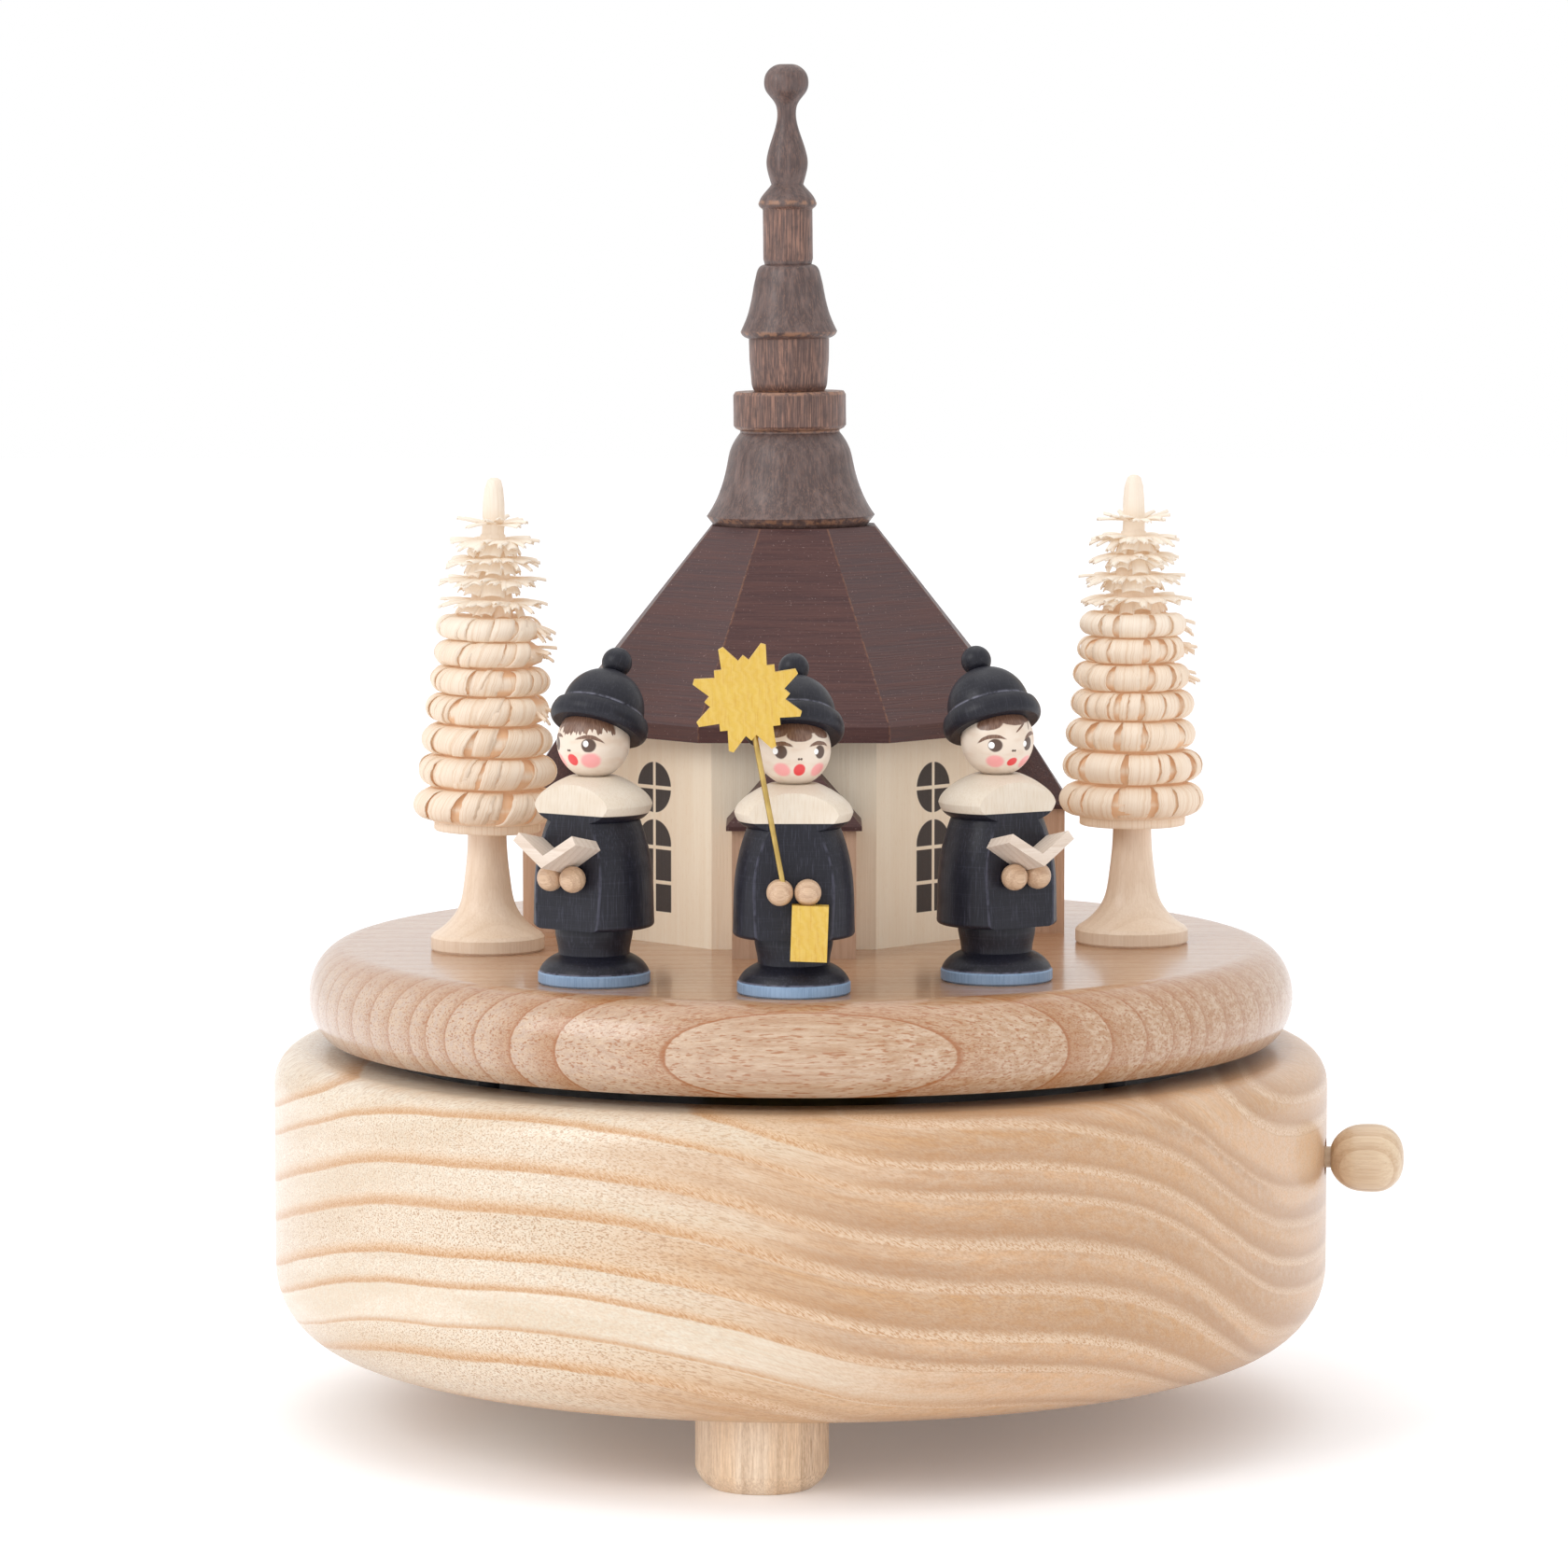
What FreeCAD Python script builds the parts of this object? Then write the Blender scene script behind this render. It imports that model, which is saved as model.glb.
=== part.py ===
import FreeCAD, Part
import math
import os

from FreeCAD import Vector

# A turned wooden music box. A round housing on three feet holds a spring driven comb movement.
# The turntable on top carries a church, three carol singers and two shaved ring trees.
# Millimetres. Z goes up from the floor under the feet, and the turntable turns about an upright axis.
# The front of the church and the middle singer face -Y, and the stop knob is at the right.
# Every piece is drawn about the turning axis, and save moves it to the frame of the whole: the origin
# there is the middle of the box's footprint, so the turning axis stands a little to its left.

# Housing and feet
housing_radius = 75.0
housing_wall = 16.5
housing_bottom_round = 11.5
housing_top_round = 5.0
housing_floor = 6.0
cover_seat_width = 3.5
foot_height = 10.6
foot_radius = 9.04
foot_sole_radius = 7.0
foot_round_height = 2.7
foot_circle_radius = 54.0
foot_tenon_radius = 3.0
foot_tenon_length = 4.0
front_foot_angle = -95.7
foot_edge_bulge = (0.6, 0.41)

# Dust cover
cover_thickness = 1.2
cover_below_rim = 0.3
cover_above_drum = 1.2
cover_side_gap = 0.3
cover_hole_radius = 6.0
cover_screw_count = 4
cover_screw_hole_depth = 5.0
screw_end_clearance = 0.5

# Turntable
turntable_radius = 70.0
turntable_thickness = 12.6
turntable_gap = 1.9
turntable_under_inset = 2.2
turntable_flat_inset = 5.8
turntable_widest_height = 5.4
turntable_under_bulge = (0.28, 0.42)
turntable_edge_angles = range(15, 91, 15)

# Flange under the turntable
flange_radius = 14.0
flange_thickness = 1.8
flange_screw_circle = 10.0
flange_screw_count = 3
flange_screw_length = 5.0
flange_screw_angle = 30.0
arbor_seat_depth = 6.0

# Church
church_centre = (-1.0, 18.0)
church_apothem = 28.0
church_wall_height = 29.6
roof_overhang = 4.4
roof_fascia = 2.2
roof_height = 26.6
roof_top_apothem = 11.7
porch_width = 17.3
porch_depth = 11.0
porch_wall_height = 18.0
porch_roof_height = 11.4
porch_roof_overhang = 0.8
porch_roof_fascia = 0.6
porch_hip_run = 6.8
spire_bell_radius = 12.16
spire_bell_height = 13.5
spire_ring_radius = 8.13
spire_ring_height = 5.9
spire_drum_radius = 5.79
spire_drum_height = 7.6
spire_small_bell_radius = 6.97
spire_small_bell_height = 10.65
lantern_radius = 3.58
lantern_height = 8.0
finial_height = 20.65
spire_centre = (-1.4, 18.0)
spire_lean = -0.6

# Singers: distance in from the turntable's edge, angle of the place, and the way each one turns
singer_places = {"left": (16.1, -121.4, -34.0), "middle": (13.3, -91.1, 0.0), "right": (19.5, -58.4, 30.0)}
singer_base_radius = 7.6
singer_base_rim = 1.65
singer_leg_radius = 5.25
singer_leg_height = 7.7
coat_hem_radius = 8.15
coat_height = 14.5
coat_top_radius = 6.25
collar_radius = 7.95
collar_height = 5.9
collar_top_radius = 3.2
coat_flat_distance = 6.4
coat_flat_lean = 3.95
head_radius = 4.95
head_neck_cut = 0.35
hat_tilt = 28.0
hat_above_head_centre = 1.65
hat_brim_radius = 6.75
hat_brim_height = 3.1
hat_dome_radius = 5.6
hat_bobble_radius = 2.05
hat_head_gap = 0.05
hand_radius = 1.79
hand_spread = 1.85
hand_height = 14.8
middle_hand_height = 14.3
hand_standout = 1.55

# What the singers hold
book_arm_length = 6.2
book_arm_angle = 33.6
book_thickness = 1.4
book_depth = 6.3
book_lean = 12.0
book_spine_height = 15.3
lantern_block_size = (4.85, 2.6, 7.4)
lantern_block_place = (2.06, -7.8, 8.95)
lantern_block_lean = 2.0
star_place = (-6.15, -8.0, 40.2)
star_long_radius = 7.4
star_short_radius = 5.65
star_valley_radius = 5.0
star_thickness = 1.6
star_points = 8
star_point_bluntness = 2.6
star_valley_share = 0.32
star_turn = 28.4
star_rod_radius = 0.375
star_rod_in_star = 3.0
star_rod_in_hand = 1.0
star_rod_inset = 0.3

# Shaved ring trees
tree_places = {"left": (-44.2, -9.8), "right": (47.1, -1.4)}
tree_leans = {"left": 1.4, "right": 0.0}
tree_base_radius = 8.0
tree_base_rim = 2.2
tree_trunk_radius = 2.7
tree_trunk_height = 16.9
tree_underside_radius = 7.5
tree_underside_thickness = 1.2
tree_tiers = 12
tree_bottom_tier_radius = 10.2
tree_top_tier_radius = 5.25
tree_bottom_tier_step = 4.85
tree_top_tier_step = 2.28
tree_groove_share = 0.55
tree_tip_radius = 1.55
tree_tip_length = 5.7

# Movement, seen from above: u runs along the cylinder away from the arbor, v to its left
bedplate_thickness = 2.0
bedplate_margin = 1.0
bedplate_hub_reach = 25.0
bedplate_screws = [(-20.0, -16.0), (-20.0, 22.0), (38.0, -17.5), (14.0, 22.0)]
bedplate_screw_end_gap = 0.2
great_wheel_floor_gap = 0.6
cylinder_radius = 6.5
cylinder_start = 19.6
cylinder_length = 24.0
cylinder_arbor_radius = 1.25
cylinder_arbor_start = 13.4
cylinder_arbor_standout = 0.6
pin_radius = 0.25
pin_height = 0.6
pin_count = 90
pin_track_step = 7
pin_turn = 137.5
comb_teeth = 18
comb_pin_gap = 0.15
comb_thickness = 1.0
comb_tooth_slot = 0.3
comb_tooth_length = 11.5
comb_tooth_shortening = 0.3
comb_root_length = 7.2
comb_block_width = 7.0
comb_screw_count = 3
comb_screw_hole_depth = 4.0
bracket_thickness = 1.2
bracket_half_width = 5.0
bracket_boss_radius = 3.0
bracket_foot_height = 1.5
inner_bracket_place = 17.2
outer_bracket_place = 46.8

# Gears
crown_teeth = 45
crown_contact_radius = 15.0
crown_face_width = 2.4
crown_tooth_thickness = 0.62
crown_plate_thickness = 1.6
crown_root_gap = 0.1
pinion_teeth = 15
pinion_side_gap = 0.2
great_wheel_teeth = 32
governor_pinion_teeth = 8
worm_wheel_teeth = 20
fine_module = 0.5
fine_addendum = 0.4
fine_dedendum = 0.6
coarse_addendum = 0.5
coarse_dedendum = 0.7
tooth_share = 0.36
tooth_tip_share = 0.5
tooth_root_flare = 1.15
great_wheel_place = 44.4
great_wheel_width = 1.2
governor_pinion_width = 1.4
worm_wheel_place = 49.3
worm_wheel_width = 1.2
worm_radius = 2.0
worm_thread_thickness = 0.5
worm_thread_crest = 0.3
worm_thread_length = 4.7
worm_thread_sink = 0.3
worm_core_margin = 0.6
governor_arbor_radius = 0.8

# Governor frame, brake disc and fly
frame_wheel_gap = 0.8
frame_worm_gap = 1.3
frame_foot_thickness = 1.4
frame_wall = 1.2
frame_arm_rise = 6.0
frame_arm_reach = 2.0
frame_half_width = 3.0
frame_inner_side = 2.3
frame_inner_rise = 2.4
brake_disc_radius = 2.6
brake_disc_thickness = 1.6
fly_radius = 5.0
fly_height = 5.4
fly_blade_thickness = 0.5
fly_sleeve_radius = 1.5
fly_above_rod = 0.5
fly_shaft_standout = 0.5

# Spring drum and arbor
drum_radius = 17.5
drum_wall = 1.0
drum_floor = 1.2
drum_height = 11.6
drum_lid_thickness = 1.0
drum_lid_lip = 0.8
drum_above_ratchet = 0.4
drum_leg_radius = 1.5
drum_leg_gap = 1.2
drum_leg_angles = (50.0, 130.0, 230.0, 310.0)
arbor_radius = 2.0
arbor_pivot_radius = 1.5
arbor_hub_step = 0.6
spring_thickness = 0.35
spring_turns = 8
spring_end_gap = 0.05
spring_wall_gap = 0.05
ratchet_radius = 4.5
ratchet_depth = 0.8
ratchet_teeth = 12
ratchet_thickness = 1.0
click_pivot_radius = 9.5
click_tooth = 2
click_nose_turn = 0.8
click_nose_depth = 0.15
click_nose_rise = 0.5
click_heel_turn = 14.0
click_heel_rise = 0.4
click_top_gap = 0.1

# Stop knob
knob_angle = -8.5
brake_above_arm = 2.4
knob_radius = 4.8
knob_length = 10.2
knob_wall_gap = 0.8
knob_neck_wall = 0.3
knob_bore_depth = 6.0
knob_travel = 3.0
stop_rod_radius = 1.5
stop_collar_step = 0.3
stop_collar_room = 0.6
stop_collar_width = 1.6
stop_collar_clearance = 0.1
bushing_wall = 1.1
bushing_recess = 0.5
bushing_seat_depth = 4.5
brake_pad_thickness = 1.0
brake_pad_gap = 0.15

# Shared fits and fasteners
running_fit = 0.05
end_play = 0.3
screw_shank_radius = 1.25
screw_head_radius = 2.4
screw_head_height = 1.6
small_shank_radius = 0.8
small_head_radius = 1.5
small_head_height = 0.9
screw_slot_width = 0.5
cutting_reach = 20.0

# Heights that follow from the sizes above
housing_bottom = foot_height
floor_top = housing_bottom + housing_floor
bedplate_top = floor_top + bedplate_thickness
great_wheel_radius = fine_module * great_wheel_teeth / 2
cylinder_height = bedplate_top + great_wheel_floor_gap + great_wheel_radius + fine_addendum
pinion_radius = crown_contact_radius * pinion_teeth / crown_teeth
crown_pitch_height = cylinder_height + pinion_radius
drive_plate_bottom = crown_pitch_height + coarse_dedendum + crown_root_gap
drive_plate_top = drive_plate_bottom + crown_plate_thickness
drum_bottom = drive_plate_top + ratchet_thickness + drum_above_ratchet
drum_inside_bottom = drum_bottom + drum_floor
drum_top = drum_inside_bottom + drum_height
cavity_radius = housing_radius - housing_wall
cover_seat_radius = cavity_radius + cover_seat_width
cover_bottom = drum_top + drum_lid_thickness + cover_above_drum
cover_top = cover_bottom + cover_thickness
housing_top = cover_top + cover_below_rim
turntable_bottom = housing_top + turntable_gap
turntable_top = turntable_bottom + turntable_thickness
wall_top = turntable_top + church_wall_height
slope_bottom = wall_top + roof_fascia
roof_top = slope_bottom + roof_height
governor_pinion_radius = fine_module * governor_pinion_teeth / 2
worm_wheel_radius = fine_module * worm_wheel_teeth / 2
governor_v = -(great_wheel_radius + governor_pinion_radius)
worm_v = governor_v - worm_wheel_radius - worm_radius
worm_u = worm_wheel_place + worm_wheel_width / 2
worm_pitch = math.pi * fine_module
worm_distance = math.hypot(worm_u, worm_v)
movement_angle = knob_angle - math.degrees(math.atan2(worm_v, worm_u))
frame_arm_bottom = cylinder_height + frame_arm_rise
frame_arm_top = frame_arm_bottom + frame_wall
frame_inner_start = great_wheel_place - frame_wheel_gap - frame_wall
frame_outer_start = worm_wheel_place + worm_wheel_width + frame_worm_gap
frame_outer_end = frame_outer_start + frame_wall
comb_back = cylinder_radius + pin_height + comb_pin_gap + comb_tooth_length + comb_block_width
drum_leg_circle = drum_radius + drum_leg_gap + drum_leg_radius
arbor_hub_radius = arbor_radius + arbor_hub_step
knob_height = frame_arm_top + brake_above_arm + brake_disc_thickness / 2
knob_neck_radius = stop_rod_radius + knob_neck_wall
bushing_radius = stop_rod_radius + bushing_wall
stop_collar_radius = bushing_radius + stop_collar_step
brake_disc_bottom = knob_height - brake_disc_thickness / 2
fly_bottom = knob_height + stop_rod_radius + fly_above_rod
fly_top = fly_bottom + fly_height
pad_start = worm_distance + brake_disc_radius + brake_pad_gap
rod_start = pad_start + brake_pad_thickness
knob_start = housing_radius + knob_wall_gap
collar_seat = cavity_radius + bushing_seat_depth
collar_start = collar_seat - stop_collar_clearance - knob_travel - stop_collar_width
knob_reach = (knob_start + knob_length) * math.cos(math.radians(knob_angle))
turning_axis_place = (housing_radius - knob_reach) / 2


class ArcTo:
    """A round stretch of an outline, through a middle point to its end."""

    def __init__(self, middle, end):
        self.middle = middle
        self.end = end


def outline_wire(stretches, to_vector):
    """Closed wire through points, ArcTo stretches and lists of points, which are smooth curves."""
    first = stretches[0]
    edges = []
    here = first
    for stretch in stretches[1:] + [first]:
        if isinstance(stretch, ArcTo):
            ends = (to_vector(here), to_vector(stretch.middle), to_vector(stretch.end))
            edges.append(Part.Arc(*ends).toShape())
            here = stretch.end
        elif isinstance(stretch, list):
            curve = Part.BSplineCurve()
            curve.interpolate([to_vector(point) for point in [here] + stretch])
            edges.append(curve.toShape())
            here = stretch[-1]
        elif stretch != here:
            edges.append(Part.LineSegment(to_vector(here), to_vector(stretch)).toShape())
            here = stretch
    return Part.Wire(edges)


def turned(stretches, base=0.0):
    """Solid of revolution about Z of an outline of radius and height, lifted by base."""
    wire = outline_wire(stretches, lambda point: Vector(point[0], 0.0, point[1] + base))
    return Part.Face(wire).revolve(Vector(0, 0, 0), Vector(0, 0, 1), 360.0)


def prism(points, bottom, top):
    """Upright prism on a closed outline in X and Y."""
    wire = outline_wire(points, lambda point: Vector(point[0], point[1], bottom))
    return Part.Face(wire).extrude(Vector(0, 0, top - bottom))


def disc(radius, bottom, top, x=0.0, y=0.0):
    """Upright cylinder."""
    return Part.makeCylinder(radius, top - bottom, Vector(x, y, bottom))


def bar(radius, start, end, y=0.0, z=0.0):
    """Cylinder along X."""
    return Part.makeCylinder(radius, end - start, Vector(start, y, z), Vector(1, 0, 0))


def block(low, high):
    """Box between two corners."""
    size = [high[axis] - low[axis] for axis in range(3)]
    return Part.makeBox(size[0], size[1], size[2], Vector(*low))


def rotated(shape, angle, axis, centre=(0.0, 0.0, 0.0)):
    """Copy turned about an axis through a centre."""
    copy = shape.copy()
    copy.rotate(Vector(*centre), Vector(*axis), angle)
    return copy


def moved(shape, x, y, z):
    """Copy moved by a vector."""
    copy = shape.copy()
    copy.translate(Vector(x, y, z))
    return copy


def turned_about_z(shape, angle):
    """Copy turned about the turning axis of the music box."""
    return rotated(shape, angle, (0, 0, 1))


def polar(radius, angle):
    """Point at a radius and an angle in degrees."""
    return radius * math.cos(math.radians(angle)), radius * math.sin(math.radians(angle))


def polyhedron(points, faces):
    """Solid with flat faces, each given by the numbers of its points."""
    shell_faces = []
    for face in faces:
        ring = [Vector(*points[number]) for number in face]
        shell_faces.append(Part.Face(Part.makePolygon(ring + [ring[0]])))
    solid = Part.Solid(Part.Shell(shell_faces))
    if solid.Volume < 0:
        solid.reverse()
    return solid


def octagon(apothem):
    """Corners of an octagon with a flat side towards -Y."""
    corner_radius = apothem / math.cos(math.radians(22.5))
    return [polar(corner_radius, 22.5 + 45.0 * number) for number in range(8)]


def leaning(shape, foot_radius, angle):
    """Copy leaning about Y by an angle in degrees, sunk until a foot of this radius is below Z = 0."""
    return moved(rotated(shape, angle, (0, 1, 0)), 0, 0, -foot_radius * math.sin(math.radians(abs(angle))))


def save(name, *solids):
    """Write one node of one or more solids, moved to the frame of the whole."""
    for solid in solids:
        if not solid.isValid() or solid.Volume <= 0:
            raise ValueError(name + " is not a sound solid")
    shape = solids[0] if len(solids) == 1 else Part.makeCompound(list(solids))
    moved(shape, turning_axis_place, 0, 0).exportStep(os.path.join("parts", name + ".step"))


def slotted_screw(shank_radius, shank_length, head_radius, head_height):
    """Screw with its head above Z = 0 and its shank below."""
    body = disc(shank_radius, -shank_length, 0.0).fuse(disc(head_radius, 0.0, head_height))
    slot_low = (-head_radius, -screw_slot_width / 2, head_height / 2)
    slot_high = (head_radius, screw_slot_width / 2, head_height)
    return body.cut(block(slot_low, slot_high)).removeSplitter()


def knob_side(shape):
    """Turn a shape drawn along X to the knob's direction."""
    return turned_about_z(shape, knob_angle)


def movement_side(shape):
    """Turn a shape drawn in the movement's u and v to its place in the housing."""
    return turned_about_z(shape, movement_angle)


def foot_places():
    """Centres of the three feet."""
    return [polar(foot_circle_radius, front_foot_angle + 120.0 * number) for number in range(3)]


def cover_screw_places():
    """Centres of the dust cover's screws, over the middle of its seat."""
    middle = cavity_radius + cover_seat_width / 2
    return [polar(middle, 45.0 + 360.0 / cover_screw_count * number) for number in range(cover_screw_count)]


def build_housing():
    """Turned drum with a cavity, a seat for the cover and holes for feet, screws and bushing."""
    round_low = housing_bottom_round * (1.0 - math.sqrt(0.5))
    round_high = housing_top_round * (1.0 - math.sqrt(0.5))
    body = turned([
        (0.0, housing_bottom),
        (housing_radius - housing_bottom_round, housing_bottom),
        ArcTo((housing_radius - round_low, housing_bottom + round_low),
              (housing_radius, housing_bottom + housing_bottom_round)),
        (housing_radius, housing_top - housing_top_round),
        ArcTo((housing_radius - round_high, housing_top - round_high),
              (housing_radius - housing_top_round, housing_top)),
        (cover_seat_radius, housing_top),
        (cover_seat_radius, cover_bottom),
        (cavity_radius, cover_bottom),
        (cavity_radius, floor_top),
        (0.0, floor_top),
    ])
    holes = [disc(foot_tenon_radius, housing_bottom, housing_bottom + foot_tenon_length, x, y)
             for x, y in foot_places()]
    cover_hole_bottom = cover_bottom - cover_screw_hole_depth
    for x, y in cover_screw_places():
        holes.append(disc(small_shank_radius, cover_hole_bottom, cover_bottom, x, y))
    for u, v in bedplate_screws:
        shank = disc(screw_shank_radius + running_fit, housing_bottom, floor_top, u, v)
        sink_top = housing_bottom + screw_head_height + end_play
        sink = disc(screw_head_radius + end_play, housing_bottom, sink_top, u, v)
        holes.append(movement_side(shank.fuse(sink)))
    holes.append(knob_side(bar(bushing_radius, collar_seat, housing_radius + 1.0, z=knob_height)))
    collar_room = stop_collar_radius + stop_collar_room
    holes.append(knob_side(bar(collar_room, cavity_radius - 1.0, collar_seat, z=knob_height)))
    save("housing", body.cut(holes))


def build_feet():
    """Three turned feet with tenons in the housing's floor."""
    out, up = foot_edge_bulge
    middle = (foot_sole_radius + (foot_radius - foot_sole_radius) * out, foot_round_height * up)
    foot = turned([
        (0.0, 0.0),
        (foot_sole_radius, 0.0),
        ArcTo(middle, (foot_radius, foot_round_height)),
        (foot_radius, foot_height),
        (foot_tenon_radius, foot_height),
        (foot_tenon_radius, foot_height + foot_tenon_length),
        (0.0, foot_height + foot_tenon_length),
    ])
    save("feet", *[moved(foot, x, y, 0.0) for x, y in foot_places()])


def build_cover():
    """Glossy black dust cover in the housing's seat, with its screws."""
    cover = disc(cover_seat_radius - cover_side_gap, cover_bottom, cover_top)
    cover = cover.cut(disc(cover_hole_radius, cover_bottom, cover_top))
    length = cover_thickness + cover_screw_hole_depth - screw_end_clearance
    screw = slotted_screw(small_shank_radius, length, small_head_radius, small_head_height)
    for x, y in cover_screw_places():
        cover = cover.cut(disc(small_shank_radius, cover_bottom, cover_top, x, y))
    save("dust_cover", cover)
    save("cover_screws", *[moved(screw, x, y, cover_top) for x, y in cover_screw_places()])


def build_bedplate():
    """Cast bedplate with the comb block, on the housing's floor, and its screws from below."""
    comb_bottom = cylinder_height - comb_thickness / 2
    comb_end = cylinder_start + cylinder_length
    block_front = cylinder_radius + pin_height + comb_pin_gap + comb_tooth_length
    near = worm_v - frame_half_width - bedplate_margin
    far = comb_back + bedplate_margin
    bracket_side = bracket_half_width + bedplate_margin
    bracket_end = outer_bracket_place + bracket_thickness
    outline = [(-bedplate_hub_reach, near), (frame_outer_end, near), (frame_outer_end, bracket_side),
               (bracket_end, far), (-bedplate_hub_reach, far)]
    plate = prism(outline, floor_top, bedplate_top)
    plate = plate.fuse(block((cylinder_start, block_front, floor_top), (comb_end, comb_back, comb_bottom)))
    plate = plate.cut(disc(arbor_pivot_radius + running_fit, floor_top, bedplate_top))
    for u, v in bedplate_screws:
        plate = plate.cut(disc(screw_shank_radius, floor_top, bedplate_top, u, v))
    for u in comb_screw_row():
        hole_bottom = comb_bottom - comb_screw_hole_depth
        plate = plate.cut(disc(small_shank_radius, hole_bottom, comb_bottom, u, comb_screw_line()))
    save("bedplate", movement_side(plate.removeSplitter()))
    length = housing_floor - screw_head_height - end_play + bedplate_thickness - bedplate_screw_end_gap
    screw = slotted_screw(screw_shank_radius, length, screw_head_radius, screw_head_height)
    screw = rotated(screw, 180.0, (1, 0, 0))
    seat = housing_bottom + screw_head_height + end_play
    save("movement_screws", *[movement_side(moved(screw, u, v, seat)) for u, v in bedplate_screws])


def comb_screw_line():
    """Distance v of the comb's screws from the cylinder's axis."""
    return comb_back - comb_block_width / 2


def comb_screw_row():
    """Places u of the comb's screws."""
    step = cylinder_length / comb_screw_count
    return [cylinder_start + step * (number + 0.5) for number in range(comb_screw_count)]


def build_comb():
    """Steel comb whose tooth tips stand just clear of the pins, with its screws."""
    bottom = cylinder_height - comb_thickness / 2
    top = bottom + comb_thickness
    tip = cylinder_radius + pin_height + comb_pin_gap
    end = cylinder_start + cylinder_length
    comb = block((cylinder_start, tip, bottom), (end, tip + comb_tooth_length + comb_root_length, top))
    pitch = cylinder_length / comb_teeth
    for number in range(1, comb_teeth):
        middle = cylinder_start + pitch * number
        slot_end = tip + comb_tooth_length - comb_tooth_shortening * number
        comb = comb.cut(block((middle - comb_tooth_slot / 2, tip, bottom),
                              (middle + comb_tooth_slot / 2, slot_end, top)))
    length = comb_thickness + comb_screw_hole_depth - screw_end_clearance
    screw = slotted_screw(small_shank_radius, length, small_head_radius, small_head_height)
    screws = []
    for u in comb_screw_row():
        comb = comb.cut(disc(small_shank_radius, bottom, top, u, comb_screw_line()))
        screws.append(movement_side(moved(screw, u, comb_screw_line(), top)))
    save("comb", movement_side(comb))
    save("comb_screws", *screws)


def upright(place, thickness, v, low, bore_radius):
    """Bearing upright across u with a round boss around the axis at the cylinder's height."""
    end = place + thickness
    post = block((place, v - bracket_boss_radius, low), (end, v + bracket_boss_radius, cylinder_height))
    foot_top = low + bracket_foot_height
    foot = block((place, v - bracket_half_width, low), (end, v + bracket_half_width, foot_top))
    boss = bar(bracket_boss_radius, place, end, v, cylinder_height)
    hole = bar(bore_radius, place, end, v, cylinder_height)
    return post.fuse([foot, boss]).removeSplitter().cut(hole)


def build_cylinder_brackets():
    """Two bearing uprights of the pinned cylinder."""
    bore = cylinder_arbor_radius + running_fit
    save("cylinder_brackets", *[movement_side(upright(place, bracket_thickness, 0.0, bedplate_top, bore))
                                for place in (inner_bracket_place, outer_bracket_place)])


def gear_outline(teeth, pitch_radius, addendum, dedendum):
    """Outline of a gear with a tooth at angle zero. Teeth are thin, which leaves backlash."""
    pitch_angle = 360.0 / teeth
    half_root = pitch_angle * tooth_share / 2 * tooth_root_flare
    half_tip = pitch_angle * tooth_share / 2 * tooth_tip_share
    root = pitch_radius - dedendum
    tip = pitch_radius + addendum
    points = []
    for number in range(teeth):
        middle = pitch_angle * number
        points += [polar(root, middle - half_root), polar(tip, middle - half_tip),
                   polar(tip, middle + half_tip), polar(root, middle + half_root)]
    return points


def gear(teeth, pitch_radius, addendum, dedendum, start, width, first_tooth):
    """Gear about the X direction, with its first tooth at an angle from +Y towards +Z."""
    wheel = prism(gear_outline(teeth, pitch_radius, addendum, dedendum), 0.0, width)
    wheel = rotated(wheel, first_tooth, (0, 0, 1))
    wheel = rotated(rotated(wheel, 90.0, (0, 0, 1)), 90.0, (0, 1, 0))
    return moved(wheel, start, 0.0, 0.0)


def build_cylinder():
    """Brass cylinder with pins in the comb's tracks, its arbor with pinion, and the great wheel."""
    end = cylinder_start + cylinder_length
    body = bar(cylinder_radius, cylinder_start, end, z=cylinder_height)
    pitch = cylinder_length / comb_teeth
    pins = []
    for number in range(pin_count):
        u = cylinder_start + pitch * (number * pin_track_step % comb_teeth + 0.5)
        root = Vector(u, 0, cylinder_height)
        pin = Part.makeCylinder(pin_radius, cylinder_radius + pin_height, root, Vector(0, 1, 0))
        pins.append(rotated(pin, number * pin_turn, (1, 0, 0), (u, 0, cylinder_height)))
    body = body.fuse(pins).cut(bar(cylinder_arbor_radius, cylinder_start - 1, end + 1, z=cylinder_height))
    save("cylinder", movement_side(body))

    shaft_end = outer_bracket_place + bracket_thickness + cylinder_arbor_standout
    shaft = bar(cylinder_arbor_radius, cylinder_arbor_start, shaft_end)
    pinion_start = crown_contact_radius - crown_face_width / 2 + pinion_side_gap
    pinion = gear(pinion_teeth, pinion_radius, coarse_addendum, coarse_dedendum,
                  pinion_start, crown_face_width - 2 * pinion_side_gap, 90.0)
    save("cylinder_arbor", movement_side(moved(shaft.fuse(pinion), 0, 0, cylinder_height)))

    wheel = gear(great_wheel_teeth, great_wheel_radius, fine_addendum, fine_dedendum,
                 great_wheel_place, great_wheel_width, 180.0)
    wheel = wheel.cut(bar(cylinder_arbor_radius, great_wheel_place, great_wheel_place + great_wheel_width))
    save("great_wheel", movement_side(moved(wheel, 0, 0, cylinder_height)))


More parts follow.
